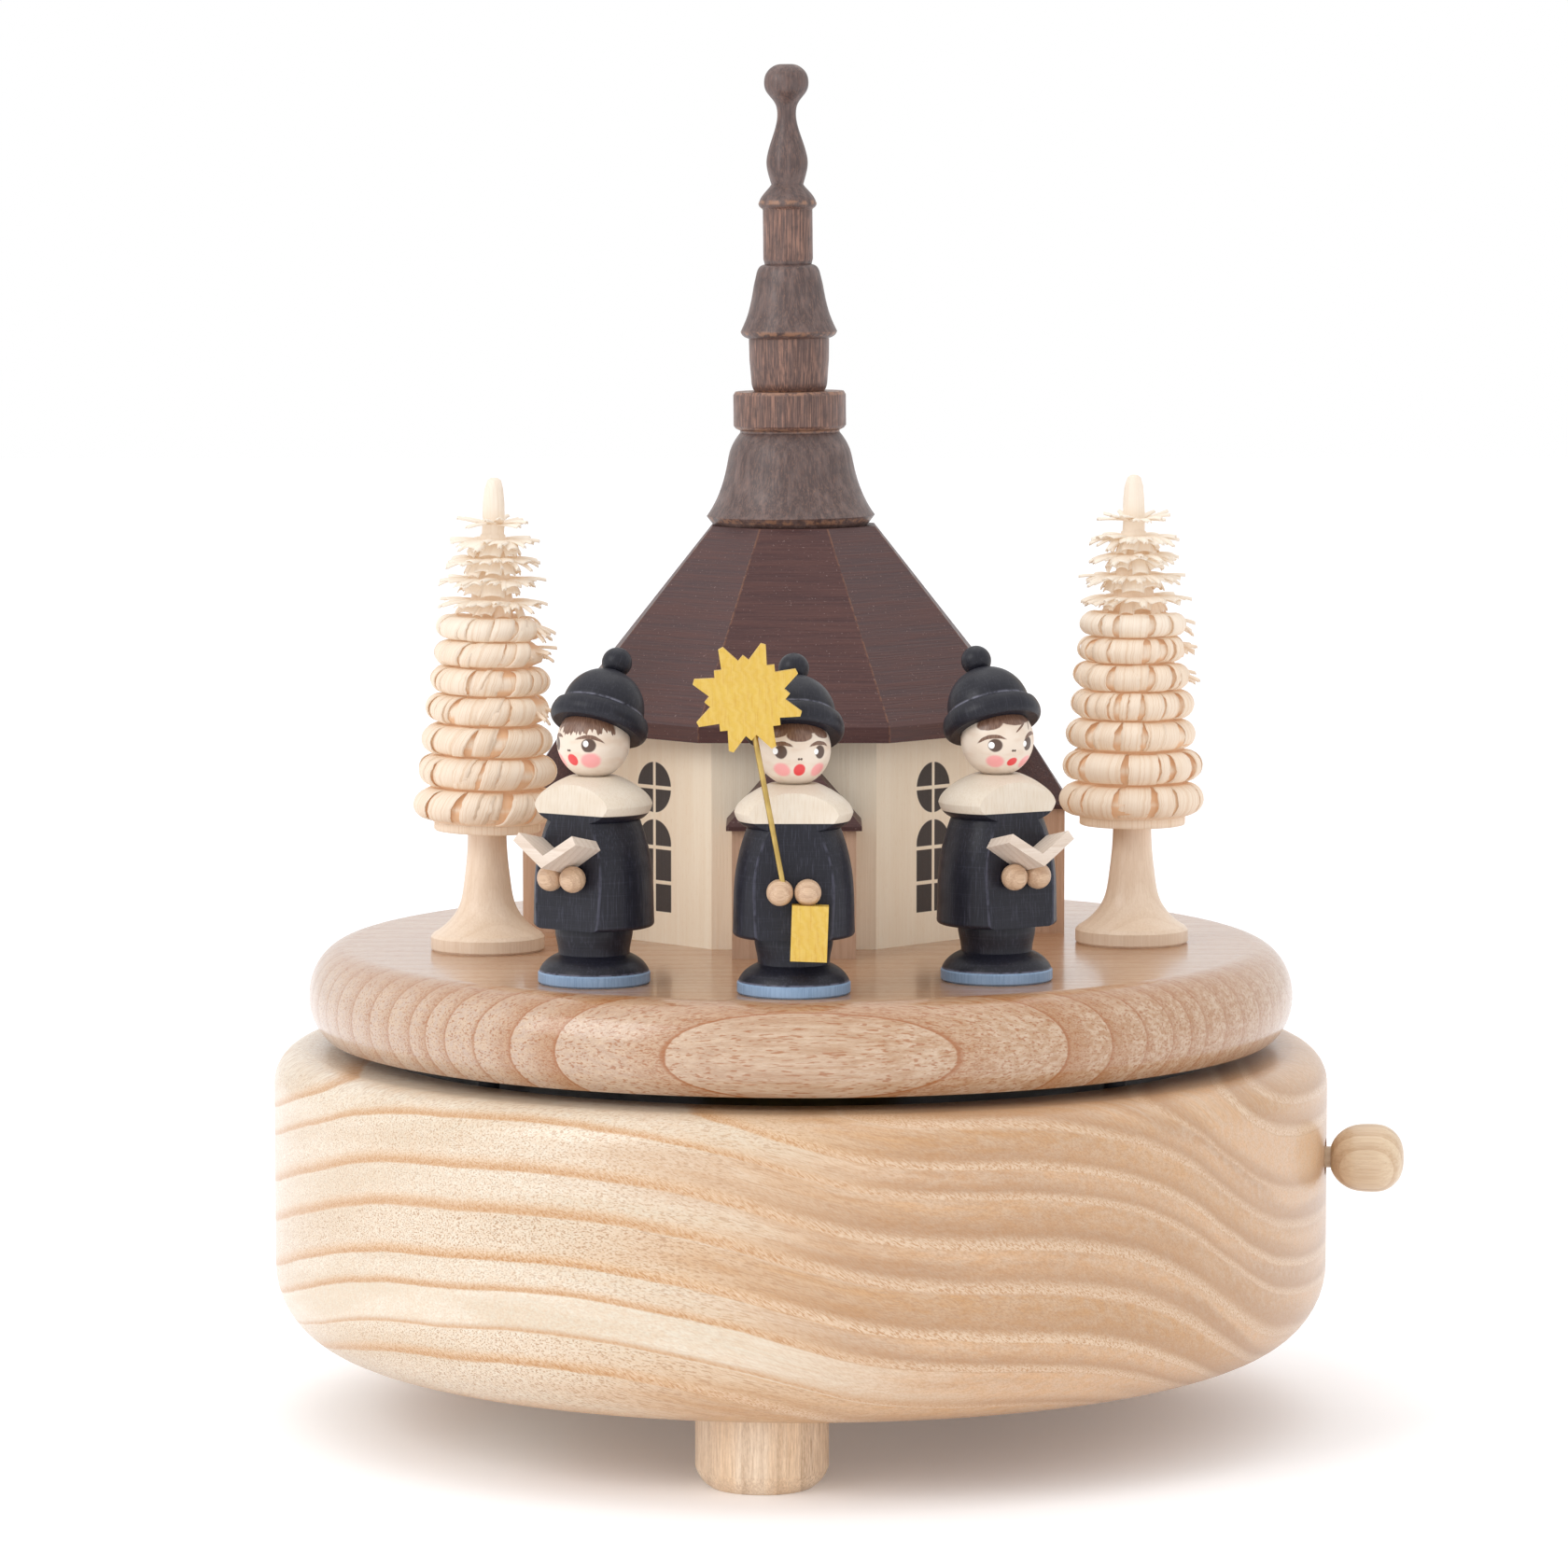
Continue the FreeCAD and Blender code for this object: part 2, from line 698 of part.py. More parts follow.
def build_governor_wheel():
    """Arbor with the small pinion that the great wheel drives, and the worm wheel."""
    arbor = bar(governor_arbor_radius, frame_inner_start, frame_outer_end)
    pinion_start = great_wheel_place - (governor_pinion_width - great_wheel_width) / 2
    half_pitch = 180.0 / governor_pinion_teeth
    pinion = gear(governor_pinion_teeth, governor_pinion_radius, fine_addendum, fine_dedendum,
                  pinion_start, governor_pinion_width, half_pitch)
    wheel = gear(worm_wheel_teeth, worm_wheel_radius, fine_addendum, fine_dedendum,
                 worm_wheel_place, worm_wheel_width, 180.0)
    whole = arbor.fuse([pinion, wheel])
    save("governor_wheel", movement_side(moved(whole, 0, governor_v, cylinder_height)))


def build_governor_frame():
    """Frame that carries the governor wheel between two walls and the worm under an arm."""
    inner_start = frame_inner_start
    outer_start = frame_outer_start
    outer_end = frame_outer_end
    low = bedplate_top
    arm_top = frame_arm_top
    foot = block((inner_start, worm_v - frame_half_width, low),
                 (outer_end, governor_v + frame_half_width, low + frame_foot_thickness))
    inner_side = governor_v + frame_inner_side
    inner_top = cylinder_height + frame_inner_rise
    near = governor_v - frame_half_width
    far = governor_v + frame_half_width
    inner = block((inner_start, near, low), (inner_start + frame_wall, inner_side, inner_top))
    outer = block((outer_start, near, low), (outer_end, far, arm_top))
    arm = block((worm_u - frame_arm_reach, worm_v - frame_arm_reach, frame_arm_bottom),
                (outer_end, far, arm_top))
    frame = foot.fuse([inner, outer, arm]).removeSplitter()
    bore = governor_arbor_radius + running_fit
    frame = frame.cut(bar(bore, inner_start, outer_end, governor_v, cylinder_height))
    frame = frame.cut(disc(bore, low, arm_top, worm_u, worm_v))
    save("governor_frame", movement_side(frame))


def worm_thread():
    """Right-handed thread of the worm, from a trapezoid carried along a helix about Z."""
    root = worm_radius - fine_dedendum
    tip = worm_radius + fine_addendum
    helix = Part.makeHelix(worm_pitch, worm_thread_length, worm_radius)
    inside = root - worm_thread_sink
    corners = [(inside, -worm_thread_thickness / 2), (tip, -worm_thread_crest / 2),
               (tip, worm_thread_crest / 2), (inside, worm_thread_thickness / 2)]
    profile = outline_wire(corners, lambda point: Vector(point[0], 0.0, point[1]))
    return Part.Wire(helix.Edges).makePipeShell([profile], True, True)


def build_worm():
    """Worm shaft with brake disc, and the fly with two blades."""
    low = bedplate_top + end_play
    shaft = disc(governor_arbor_radius, low, fly_top + fly_shaft_standout)
    root = worm_radius - fine_dedendum
    thread_low = cylinder_height - worm_thread_length / 2
    core = disc(root, thread_low - worm_core_margin, thread_low + worm_thread_length + worm_core_margin)
    turns = worm_thread_length / worm_pitch
    crest_angle = 90.0 + 180.0 - 360.0 * (turns / 2)
    thread = moved(rotated(worm_thread(), crest_angle, (0, 0, 1)), 0, 0, thread_low)
    brake = disc(brake_disc_radius, brake_disc_bottom, brake_disc_bottom + brake_disc_thickness)
    worm = shaft.fuse([core, thread, brake])
    save("governor_worm", movement_side(moved(worm, worm_u, worm_v, 0)))

    sleeve = disc(fly_sleeve_radius, fly_bottom, fly_top)
    blades = block((-fly_radius, -fly_blade_thickness / 2, fly_bottom),
                   (fly_radius, fly_blade_thickness / 2, fly_top))
    fly = sleeve.fuse(blades).removeSplitter().cut(disc(governor_arbor_radius, fly_bottom, fly_top))
    save("fly", movement_side(moved(fly, worm_u, worm_v, 0)))


def build_spring_drum():
    """Drum on four legs for the mainspring, its lid, and the spring in it."""
    inside = drum_radius - drum_wall
    drum = disc(drum_radius, drum_bottom, drum_top).cut(disc(inside, drum_inside_bottom, drum_top))
    pieces = []
    for angle in drum_leg_angles:
        x, y = polar(drum_leg_circle, angle)
        leg = disc(drum_leg_radius, bedplate_top, drum_inside_bottom, x, y)
        reach = block((drum_radius - drum_wall, -drum_leg_radius, drum_bottom),
                      (drum_leg_circle, drum_leg_radius, drum_inside_bottom))
        pieces += [leg, turned_about_z(reach, angle)]
    drum = drum.fuse(pieces).cut(disc(arbor_radius + running_fit, drum_bottom, drum_inside_bottom))
    save("spring_drum", movement_side(drum.removeSplitter()))

    lid = disc(drum_radius, drum_top, drum_top + drum_lid_thickness)
    lid = lid.fuse(disc(inside, drum_top - drum_lid_lip, drum_top))
    lid = lid.cut(disc(arbor_radius + running_fit, drum_top - drum_lid_lip, drum_top + drum_lid_thickness))
    save("drum_lid", movement_side(lid.removeSplitter()))

    save("mainspring", movement_side(spring_strip(inside - spring_wall_gap)))


def spring_strip(outer_radius):
    """Flat spring strip wound in half circles from the arbor's hub out to the drum."""
    inner_radius = arbor_hub_radius + spring_end_gap
    step = (outer_radius - spring_thickness - inner_radius) / (2 * spring_turns)
    edges_in = []
    edges_out = []
    for number in range(2 * spring_turns):
        side = 1.0 if number % 2 == 0 else -1.0
        centre = 0.0 if number % 2 == 0 else step
        radius = inner_radius + step * number
        for shift, edges in ((0.0, edges_in), (spring_thickness, edges_out)):
            start = Vector(centre + side * (radius + shift), 0, 0)
            middle = Vector(centre, side * (radius + shift), 0)
            finish = Vector(centre - side * (radius + shift), 0, 0)
            edges.append(Part.Arc(start, middle, finish).toShape())
    first_in = edges_in[0].valueAt(edges_in[0].FirstParameter)
    first_out = edges_out[0].valueAt(edges_out[0].FirstParameter)
    last_in = edges_in[-1].valueAt(edges_in[-1].LastParameter)
    last_out = edges_out[-1].valueAt(edges_out[-1].LastParameter)
    ends = [Part.LineSegment(first_in, first_out).toShape(), Part.LineSegment(last_in, last_out).toShape()]
    wire = Part.Wire(Part.__sortEdges__(edges_in + edges_out + ends))
    bottom = drum_inside_bottom + end_play
    height = drum_height - drum_lid_lip - 2 * end_play
    return moved(Part.Face(wire).extrude(Vector(0, 0, height)), 0, 0, bottom)


def build_arbor():
    """Spring arbor in the turning axis, from its pivot in the bedplate up into the turntable."""
    shoulder = bedplate_top + end_play
    hub_low = drum_inside_bottom + end_play
    hub_high = drum_top - drum_lid_lip - end_play
    arbor = disc(arbor_pivot_radius, floor_top + end_play, shoulder)
    arbor = arbor.fuse([disc(arbor_radius, shoulder, turntable_bottom + arbor_seat_depth),
                        disc(arbor_hub_radius, hub_low, hub_high)])
    save("spring_arbor", arbor.removeSplitter())


def build_drive_wheel():
    """Crown wheel that drives the cylinder's pinion, the ratchet wheel and its click."""
    outer = crown_contact_radius + crown_face_width / 2
    inner = crown_contact_radius - crown_face_width / 2
    tooth_low = crown_pitch_height - coarse_addendum
    plate = disc(outer, drive_plate_bottom, drive_plate_top)
    ring = disc(outer, tooth_low, drive_plate_bottom).cut(disc(inner, tooth_low, drive_plate_bottom))
    teeth = []
    for number in range(crown_teeth):
        tooth = block((inner - 1, -crown_tooth_thickness / 2, tooth_low),
                      (outer + 1, crown_tooth_thickness / 2, drive_plate_bottom))
        teeth.append(turned_about_z(tooth, 360.0 / crown_teeth * (number + 0.5)))
    crown = ring.common(Part.makeCompound(teeth))
    hub = disc(ratchet_radius, tooth_low, drive_plate_bottom)
    pin_x, pin_y = polar(click_pivot_radius, 90.0)
    pin = disc(small_shank_radius, drive_plate_top, drive_plate_top + ratchet_thickness, pin_x, pin_y)
    wheel = plate.fuse([hub, pin] + crown.Solids)
    wheel = wheel.cut(disc(arbor_radius, tooth_low, drive_plate_top))
    save("drive_wheel", movement_side(wheel))

    points = []
    for number in range(ratchet_teeth):
        start = 360.0 / ratchet_teeth * number
        points += [polar(ratchet_radius, start), polar(ratchet_radius - ratchet_depth, start)]
    ratchet = prism(points, drive_plate_top, drive_plate_top + ratchet_thickness)
    ratchet = ratchet.cut(disc(arbor_radius, drive_plate_top, drive_plate_top + ratchet_thickness))
    save("ratchet_wheel", movement_side(ratchet))

    click_top = drive_plate_top + ratchet_thickness - click_top_gap
    tooth = 360.0 / ratchet_teeth * click_tooth
    nose_angle = tooth + click_nose_turn
    nose_low = ratchet_radius - ratchet_depth + click_nose_depth
    nose = [polar(nose_low, nose_angle), polar(ratchet_radius + click_nose_rise, nose_angle)]
    heel = polar(ratchet_radius + click_heel_rise, tooth + click_heel_turn)
    eye = 2 * small_shank_radius
    tail = [(pin_x - eye / 8, pin_y + eye), (pin_x - eye, pin_y), (pin_x - eye * 3 / 8, pin_y - eye * 7 / 8)]
    click = prism(nose + tail + [heel], drive_plate_top, click_top)
    click = click.cut(disc(small_shank_radius, drive_plate_top, click_top, pin_x, pin_y))
    save("winding_click", movement_side(click))


def build_turntable():
    """Wooden disc with a rounded edge, the flange on the arbor and its countersunk screws."""
    widest = turntable_bottom + turntable_widest_height
    rise = turntable_top - widest
    run = turntable_flat_inset
    upper = [(turntable_radius - run + run * math.cos(math.radians(angle)),
              widest + rise * math.sin(math.radians(angle))) for angle in turntable_edge_angles]
    under_radius = turntable_radius - turntable_under_inset
    inward, up = turntable_under_bulge
    bulge = (turntable_radius - turntable_under_inset * inward,
             turntable_bottom + turntable_widest_height * up)
    body = turned([
        (0.0, turntable_bottom),
        (under_radius, turntable_bottom),
        ArcTo(bulge, (turntable_radius, widest)),
        upper,
        (0.0, turntable_top),
    ])
    flange_bottom = turntable_bottom - flange_thickness
    flange = disc(flange_radius, flange_bottom, turntable_bottom)
    shank_top = turntable_bottom + flange_screw_length
    shank = small_shank_radius
    head = Part.makeCone(2 * shank, shank, shank, Vector(0, 0, flange_bottom))
    screw = head.fuse(disc(shank, flange_bottom, shank_top)).removeSplitter()
    screws = []
    for number in range(flange_screw_count):
        x, y = polar(flange_screw_circle, 360.0 / flange_screw_count * number + flange_screw_angle)
        screws.append(moved(screw, x, y, 0))
    arbor_seat = disc(arbor_radius, turntable_bottom, turntable_bottom + arbor_seat_depth)
    save("turntable", body.cut(screws + [arbor_seat]))
    save("turntable_flange", flange.cut(screws + [disc(arbor_radius, flange_bottom, turntable_bottom)]))
    save("flange_screws", *screws)


def church_side(shape, angle):
    """Turn a shape drawn towards +X of the church's centre to one of its sides."""
    turned_shape = turned_about_z(shape, angle)
    return moved(turned_shape, church_centre[0], church_centre[1], 0)


def build_church():
    """Octagonal body and roof of the church."""
    x, y = church_centre
    save("church_walls", moved(prism(octagon(church_apothem), turntable_top, wall_top), x, y, 0))
    eave = octagon(church_apothem + roof_overhang)
    points = [(px, py, wall_top) for px, py in eave]
    points += [(px, py, slope_bottom) for px, py in eave]
    points += [(px, py, roof_top) for px, py in octagon(roof_top_apothem)]
    faces = [list(range(7, -1, -1)), list(range(16, 24))]
    for ring in (0, 8):
        for number in range(8):
            following = (number + 1) % 8
            faces.append([ring + number, ring + following, ring + 8 + following, ring + 8 + number])
    save("church_roof", moved(polyhedron(points, faces), x, y, 0))


def build_porches():
    """Three porches on the front and both sides of the church, with hipped roofs."""
    half = porch_width / 2
    eave_height = turntable_top + porch_wall_height
    outer = church_apothem + porch_depth
    walls = block((church_apothem, -half, turntable_top), (outer, half, eave_height))
    wide = half + porch_roof_overhang
    reach = outer + porch_roof_overhang
    fascia_top = eave_height + porch_roof_fascia
    ridge = eave_height + porch_roof_height
    points = []
    for height in (eave_height, fascia_top):
        points += [(church_apothem, -wide, height), (reach, -wide, height),
                   (reach, wide, height), (church_apothem, wide, height)]
    points += [(church_apothem, 0.0, ridge), (reach - porch_hip_run, 0.0, ridge)]
    faces = [[3, 2, 1, 0], [0, 1, 5, 4], [1, 2, 6, 5], [2, 3, 7, 6], [0, 4, 8, 7, 3],
             [4, 5, 9, 8], [5, 6, 9], [6, 7, 8, 9]]
    roof = polyhedron(points, faces)
    sides = (-90.0, 0.0, 180.0)
    save("porches", *[church_side(walls, side) for side in sides])
    save("porch_roofs", *[church_side(roof, side) for side in sides])


def spire_place(shape):
    """Copy moved from the origin to the spire's place on the roof."""
    return moved(shape, spire_centre[0], spire_centre[1], roof_top)


def build_spire():
    """Turned spire in two pieces: the large bell with its ring, and everything above."""
    bell = spire_bell_radius
    throat = bell * 0.59
    ring_low = spire_bell_height
    ring_high = spire_bell_height + spire_ring_height
    lower = turned([
        (0.0, 0.0),
        (bell * 0.905, 0.0),
        (bell * 0.95, 0.7),
        (bell, 1.5),
        [(bell * 0.925, 2.9), (bell * 0.867, 4.3), (bell * 0.813, 6.0), (bell * 0.775, 7.6),
         (bell * 0.745, 9.3), (bell * 0.711, 11.0), (bell * 0.645, 12.6), (throat, ring_low)],
        (throat, ring_low + 0.3),
        (spire_ring_radius - 0.3, ring_low + 0.6),
        (spire_ring_radius, ring_low + 1.0),
        (spire_ring_radius, ring_high - 0.5),
        (spire_ring_radius - 0.3, ring_high),
        (0.0, ring_high),
    ])
    roof_cut = disc(bell * 2.0, -bell, 0.0)
    save("spire_bell", spire_place(leaning(lower, bell, spire_lean).cut(roof_cut)))

    drum = spire_drum_radius
    small = spire_small_bell_radius
    rim = spire_drum_height
    shoulder = rim + spire_small_bell_height
    collar = shoulder + lantern_height
    upper = turned([
        (0.0, 0.0),
        (drum * 0.87, 0.0),
        [(drum * 0.915, 0.5), (drum * 0.945, 1.2)],
        (drum * 0.99, 4.5),
        (drum, rim - 0.4),
        (drum, rim),
        (small * 0.87, rim + 0.1),
        [(small * 0.96, rim + 0.5), (small, rim + 1.0)],
        [(small * 0.92, rim + 2.2), (small * 0.847, rim + 3.5), (small * 0.792, rim + 4.9),
         (small * 0.752, rim + 6.2), (small * 0.717, rim + 7.6), (small * 0.674, rim + 8.9),
         (small * 0.588, shoulder - 0.3), (lantern_radius - 0.2, shoulder)],
        (lantern_radius, shoulder + 0.8),
        (lantern_radius, collar - 0.2),
        (lantern_radius * 1.03, collar),
        [(lantern_radius * 1.13, collar + 0.3), (lantern_radius * 1.175, collar + 0.7)],
        (lantern_radius * 1.11, collar + 1.3),
        [(3.5, collar + 2.05), (2.7, collar + 2.95), (2.31, collar + 3.45)],
        [(2.72, collar + 4.9), (2.98, collar + 6.6), (2.75, collar + 8.1), (2.25, collar + 9.75),
         (1.72, collar + 11.35), (1.38, collar + 12.9), (1.45, collar + 14.5)],
        [(2.25, collar + 15.9), (2.98, collar + 16.9), (3.2, collar + 18.1), (2.92, collar + 19.3),
         (2.05, collar + 20.25), (1.0, collar + finial_height)],
        (0.0, collar + finial_height),
    ], ring_high)
    save("spire_top", spire_place(leaning(upper, bell, spire_lean)))


def place_singer(shape, side):
    """Turn a piece of a singer to its direction and set it on the turntable."""
    edge_distance, angle, turn = singer_places[side]
    x, y = polar(turntable_radius - edge_distance, angle)
    return moved(turned_about_z(shape, turn), x, y, turntable_top)


def front_cut():
    """Everything in front of the leaning flat that is planed on a singer's coat."""
    reach = cutting_reach
    tall = singer_leg_height + coat_height + collar_height + reach
    space = block((-reach, -coat_flat_distance - reach, -reach), (reach, -coat_flat_distance, tall))
    return rotated(space, -coat_flat_lean, (1, 0, 0), (0, -coat_flat_distance, singer_leg_height))


def singer_legs():
    """Round base with its rim and the barrel shaped legs, turned in one piece."""
    rim = singer_base_radius
    leg = singer_leg_radius
    return turned([
        (0.0, 0.0),
        (rim - 0.25, 0.0),
        (rim, 0.25),
        (rim, singer_base_rim - 0.2),
        (rim - 0.15, singer_base_rim),
        [(rim - 0.4, 2.2), (6.3, 3.2), (leg * 0.92, 4.0)],
        [(leg * 0.95, 5.4), (leg, 6.8), (leg, singer_leg_height)],
        (0.0, singer_leg_height),
    ])


def singer_coat():
    """Coat and collar, turned in one piece, with the planed flat at the front."""
    hem = coat_hem_radius
    low = singer_leg_height
    top = low + coat_height
    body = turned([
        (0.0, low),
        (hem - 0.5, low),
        [(hem - 0.1, low + 0.25), (hem, low + 0.8)],
        [(hem * 0.995, low + 2.5), (hem * 0.96, low + 8.4), (hem * 0.875, low + 11.8),
         (coat_top_radius, top)],
        (coat_top_radius - 0.1, top),
        [(collar_radius - 0.7, top + 0.7), (collar_radius, top + 2.1)],
        [(collar_radius * 0.94, top + 3.1), (collar_radius * 0.81, top + 4.1),
         (collar_radius * 0.62, top + 5.1), (collar_top_radius, top + collar_height)],
        (0.0, top + collar_height),
    ])
    return body.cut(front_cut())


def head_centre_height():
    """Height of a singer's head centre above the turntable."""
    return singer_leg_height + coat_height + collar_height + head_radius - head_neck_cut


def singer_head():
    """Ball head, flat where it sits on the collar."""
    centre = head_centre_height()
    collar_top = singer_leg_height + coat_height + collar_height
    ball = Part.makeSphere(head_radius, Vector(0, 0, centre))
    return ball.cut(disc(head_radius, centre - 2 * head_radius, collar_top))


def singer_hat():
    """Round hat with a rolled brim and a bobble, hollowed to the head and tipped back."""
    low = hat_above_head_centre
    brim = hat_brim_radius
    hollow = head_radius + hat_head_gap
    dome_centre = low + hat_brim_height
    neck = hat_bobble_radius * 0.67
    neck_height = dome_centre + math.sqrt(hat_dome_radius ** 2 - neck ** 2)
    bobble_centre = neck_height + math.sqrt(hat_bobble_radius ** 2 - neck ** 2)
    shoulder = (hat_dome_radius * math.cos(math.radians(50.0)),
                dome_centre + hat_dome_radius * math.sin(math.radians(50.0)))
    opening_angle = math.asin(low / hollow)
    middle_angle = (opening_angle + math.pi / 2) / 2
    body = turned([
        (0.0, hollow),
        ArcTo((hollow * math.cos(middle_angle), hollow * math.sin(middle_angle)),
              (hollow * math.cos(opening_angle), low)),
        (brim - 0.65, low),
        [(brim - 0.1, low + 0.6), (brim, low + 1.5), (brim - 0.35, low + 2.6)],
        (hat_dome_radius, dome_centre),
        ArcTo(shoulder, (neck, neck_height)),
        ArcTo((hat_bobble_radius, bobble_centre), (0.0, bobble_centre + hat_bobble_radius)),
    ])
    body = rotated(body, -hat_tilt, (1, 0, 0))
    return moved(body, 0, 0, head_centre_height())


def flat_distance(height):
    """Distance of the coat's flat from the singer's axis at a height."""
    return coat_flat_distance - (height - singer_leg_height) * math.tan(math.radians(coat_flat_lean))


def singer_hand(side, height):
    """Ball hand against the coat's flat, on side -1 or 1."""
    y = -(flat_distance(height) + hand_standout)
    return Part.makeSphere(hand_radius, Vector(side * hand_spread, y, height)).common(front_cut())


def singer_book():
    """Open book: a V of two boards that lies on the hands and meets the coat."""
    cos_a = math.cos(math.radians(book_arm_angle))
    sin_a = math.sin(math.radians(book_arm_angle))
    end = (book_arm_length * cos_a, book_arm_length * sin_a)
    upper = (end[0] - book_thickness * sin_a, end[1] + book_thickness * cos_a)
    inner = (0.0, book_thickness / cos_a)
    ring = [(0.0, 0.0), end, upper, inner, (-upper[0], upper[1]), (-end[0], end[1])]
    wire = outline_wire(ring, lambda point: Vector(point[0], 1.0, point[1]))
    board = Part.Face(wire).extrude(Vector(0, -book_depth - 1.0, 0))
    board = rotated(board, -book_lean, (1, 0, 0))
    board = moved(board, 0, -flat_distance(book_spine_height), book_spine_height)
    return board.common(front_cut())


def star_rod_ends():
    """Lower and upper end of the star's rod, in the hand and in the star."""
    hand = Vector(-hand_spread + star_rod_inset, star_place[1], middle_hand_height + hand_radius)
    star = Vector(*star_place)
    along = (star - hand).normalize()
    reach = star_valley_radius - star_rod_in_star
    return hand - along * star_rod_in_hand, star - along * reach


def star_rod():
    """Thin brass rod from the hand to the star."""
    low, high = star_rod_ends()
    along = high - low
    return Part.makeCylinder(star_rod_radius, along.Length, low, along)


def singer_star():
    """Flat wooden star with long and short points."""
    step = 360.0 / star_points
    blunt = star_point_bluntness
    valley = step * star_valley_share
    points = []
    for number in range(star_points):
        middle = star_turn + step * number
        points += [polar(star_long_radius, middle - blunt), polar(star_long_radius, middle + blunt),
                   polar(star_valley_radius, middle + valley), polar(star_short_radius, middle + step / 2),
                   polar(star_valley_radius, middle + step - valley)]
    star = rotated(prism(points, -star_thickness / 2, star_thickness / 2), 90.0, (1, 0, 0))
    return moved(star, *star_place).cut(star_rod())


def lantern_block():
    """Wooden lantern block that hangs under the middle singer's hand."""
    half = [size / 2 for size in lantern_block_size]
    body = block((-half[0], -half[1], -half[2]), (half[0], half[1], half[2]))
    body = rotated(body, lantern_block_lean, (0, 1, 0))
    return moved(body, *lantern_block_place)


def build_singers():
    """Three singers: two with books, the middle one with star and lantern."""
    for side in singer_places:
        prefix = side + "_singer_"
        pieces = {
            "legs": [singer_legs()],
            "coat": [singer_coat()],
            "head": [singer_head()],
            "hat": [singer_hat()],
        }
        if side == "middle":
            lantern = lantern_block()
            rod = star_rod()
            pieces["hands"] = [singer_hand(number, middle_hand_height).cut([lantern, rod])
                               for number in (-1, 1)]
            pieces["lantern"] = [lantern]
            pieces["star_rod"] = [rod]
            pieces["star"] = [singer_star()]
        else:
            book = singer_book()
            pieces["hands"] = [singer_hand(number, hand_height).cut(book) for number in (-1, 1)]
            pieces["book"] = [book]
        for piece, solids in pieces.items():
            save(prefix + piece, *[place_singer(solid, side) for solid in solids])


def tree_trunk():
    """Turned trunk with a round base."""
    base = tree_base_radius
    trunk = tree_trunk_radius
    height = tree_trunk_height
    return turned([
        (0.0, 0.0),
        (base - 0.2, 0.0),
        (base, 0.3),
        (base, tree_base_rim - 0.3),
        (base - 0.4, tree_base_rim + 0.2),
        [(5.6, 3.9), (trunk + 1.4, 6.0), (trunk + 0.6, 9.5), (trunk + 0.15, 13.5), (trunk, height)],
        (0.0, height),
    ])


def tree_crown():
    """Outer shape of the curled shavings: tiers that get smaller towards the tip."""
    groove = tree_groove_share
    radius = tree_bottom_tier_radius
    stretches = [(0.0, 0.0), (tree_underside_radius, 0.0), (tree_underside_radius, tree_underside_thickness)]
    height = tree_underside_thickness
    shrink = (tree_bottom_tier_radius - tree_top_tier_radius) / (tree_tiers - 1)
    step_shrink = (tree_bottom_tier_step - tree_top_tier_step) / (tree_tiers - 1)
    for number in range(tree_tiers):
        radius = tree_bottom_tier_radius - shrink * number
        step = tree_bottom_tier_step - step_shrink * number
        following = radius * groove if number < tree_tiers - 1 else tree_tip_radius
        stretches.append([(radius * 0.96, height + step * 0.22), (radius, height + step * 0.5),
                          (radius * 0.95, height + step * 0.8), (following, height + step)])
        height += step
    tip = tree_tip_radius
    length = tree_tip_length
    stretches.append((tip * 0.94, height + length * 0.35))
    stretches.append([(tip * 0.8, height + length * 0.7), (tip * 0.6, height + length * 0.93),
                      (tip * 0.3, height + length * 0.99), (0.0, height + length)])
    return turned(stretches)


def build_trees():
    """Two shaved ring trees at the sides of the church."""
    trunk = tree_trunk()
    for side, (x, y) in tree_places.items():
        save(side + "_tree_trunk", moved(trunk, x, y, turntable_top))
        crown = moved(leaning(tree_crown(), tree_trunk_radius, tree_leans[side]), 0, 0, tree_trunk_height)
        save(side + "_tree_crown", moved(crown.cut(trunk), x, y, turntable_top))


def build_stop_knob():
    """Wooden knob, its rod with a stop collar, the brake pad and the brass bushing."""
    radius = knob_radius
    profile = [
        (0.0, 0.0),
        (knob_neck_radius, 0.0),
        [(radius * 0.8, 1.6), (radius * 0.94, 2.9), (radius, 5.2), (radius * 0.945, 7.6),
         (radius * 0.79, 8.8), (radius * 0.55, knob_length - 0.5)],
        [(radius * 0.3, knob_length - 0.1), (0.0, knob_length)],
    ]
    knob = rotated(turned(profile), 90.0, (0, 1, 0))
    knob = moved(knob, knob_start, 0, knob_height)
    rod_end = knob_start + knob_bore_depth
    knob = knob.cut(bar(stop_rod_radius, knob_start - 1.0, rod_end, z=knob_height))
    save("stop_knob", knob_side(knob))
    rod = bar(stop_rod_radius, rod_start, rod_end, z=knob_height)
    collar = bar(stop_collar_radius, collar_start, collar_start + stop_collar_width, z=knob_height)
    save("stop_rod", knob_side(rod.fuse(collar).removeSplitter()))
    save("brake_pad", knob_side(bar(stop_rod_radius, pad_start, rod_start, z=knob_height)))
    bushing_end = housing_radius - bushing_recess
    bushing = bar(bushing_radius, collar_seat, bushing_end, z=knob_height)
    bushing = bushing.cut(bar(stop_rod_radius + running_fit, collar_seat, bushing_end, z=knob_height))
    save("knob_bushing", knob_side(bushing))


def main():
    """Build every piece and write one file for each."""
    os.makedirs("parts", exist_ok=True)
    build_housing()
    build_feet()
    build_cover()
    build_bedplate()
    build_comb()
    build_cylinder_brackets()
    build_cylinder()
    build_governor_wheel()
    build_governor_frame()
    build_worm()
    build_spring_drum()
    build_arbor()
    build_drive_wheel()
    build_turntable()
    build_church()
    build_porches()
    build_spire()
    build_singers()
    build_trees()
    build_stop_knob()


main()
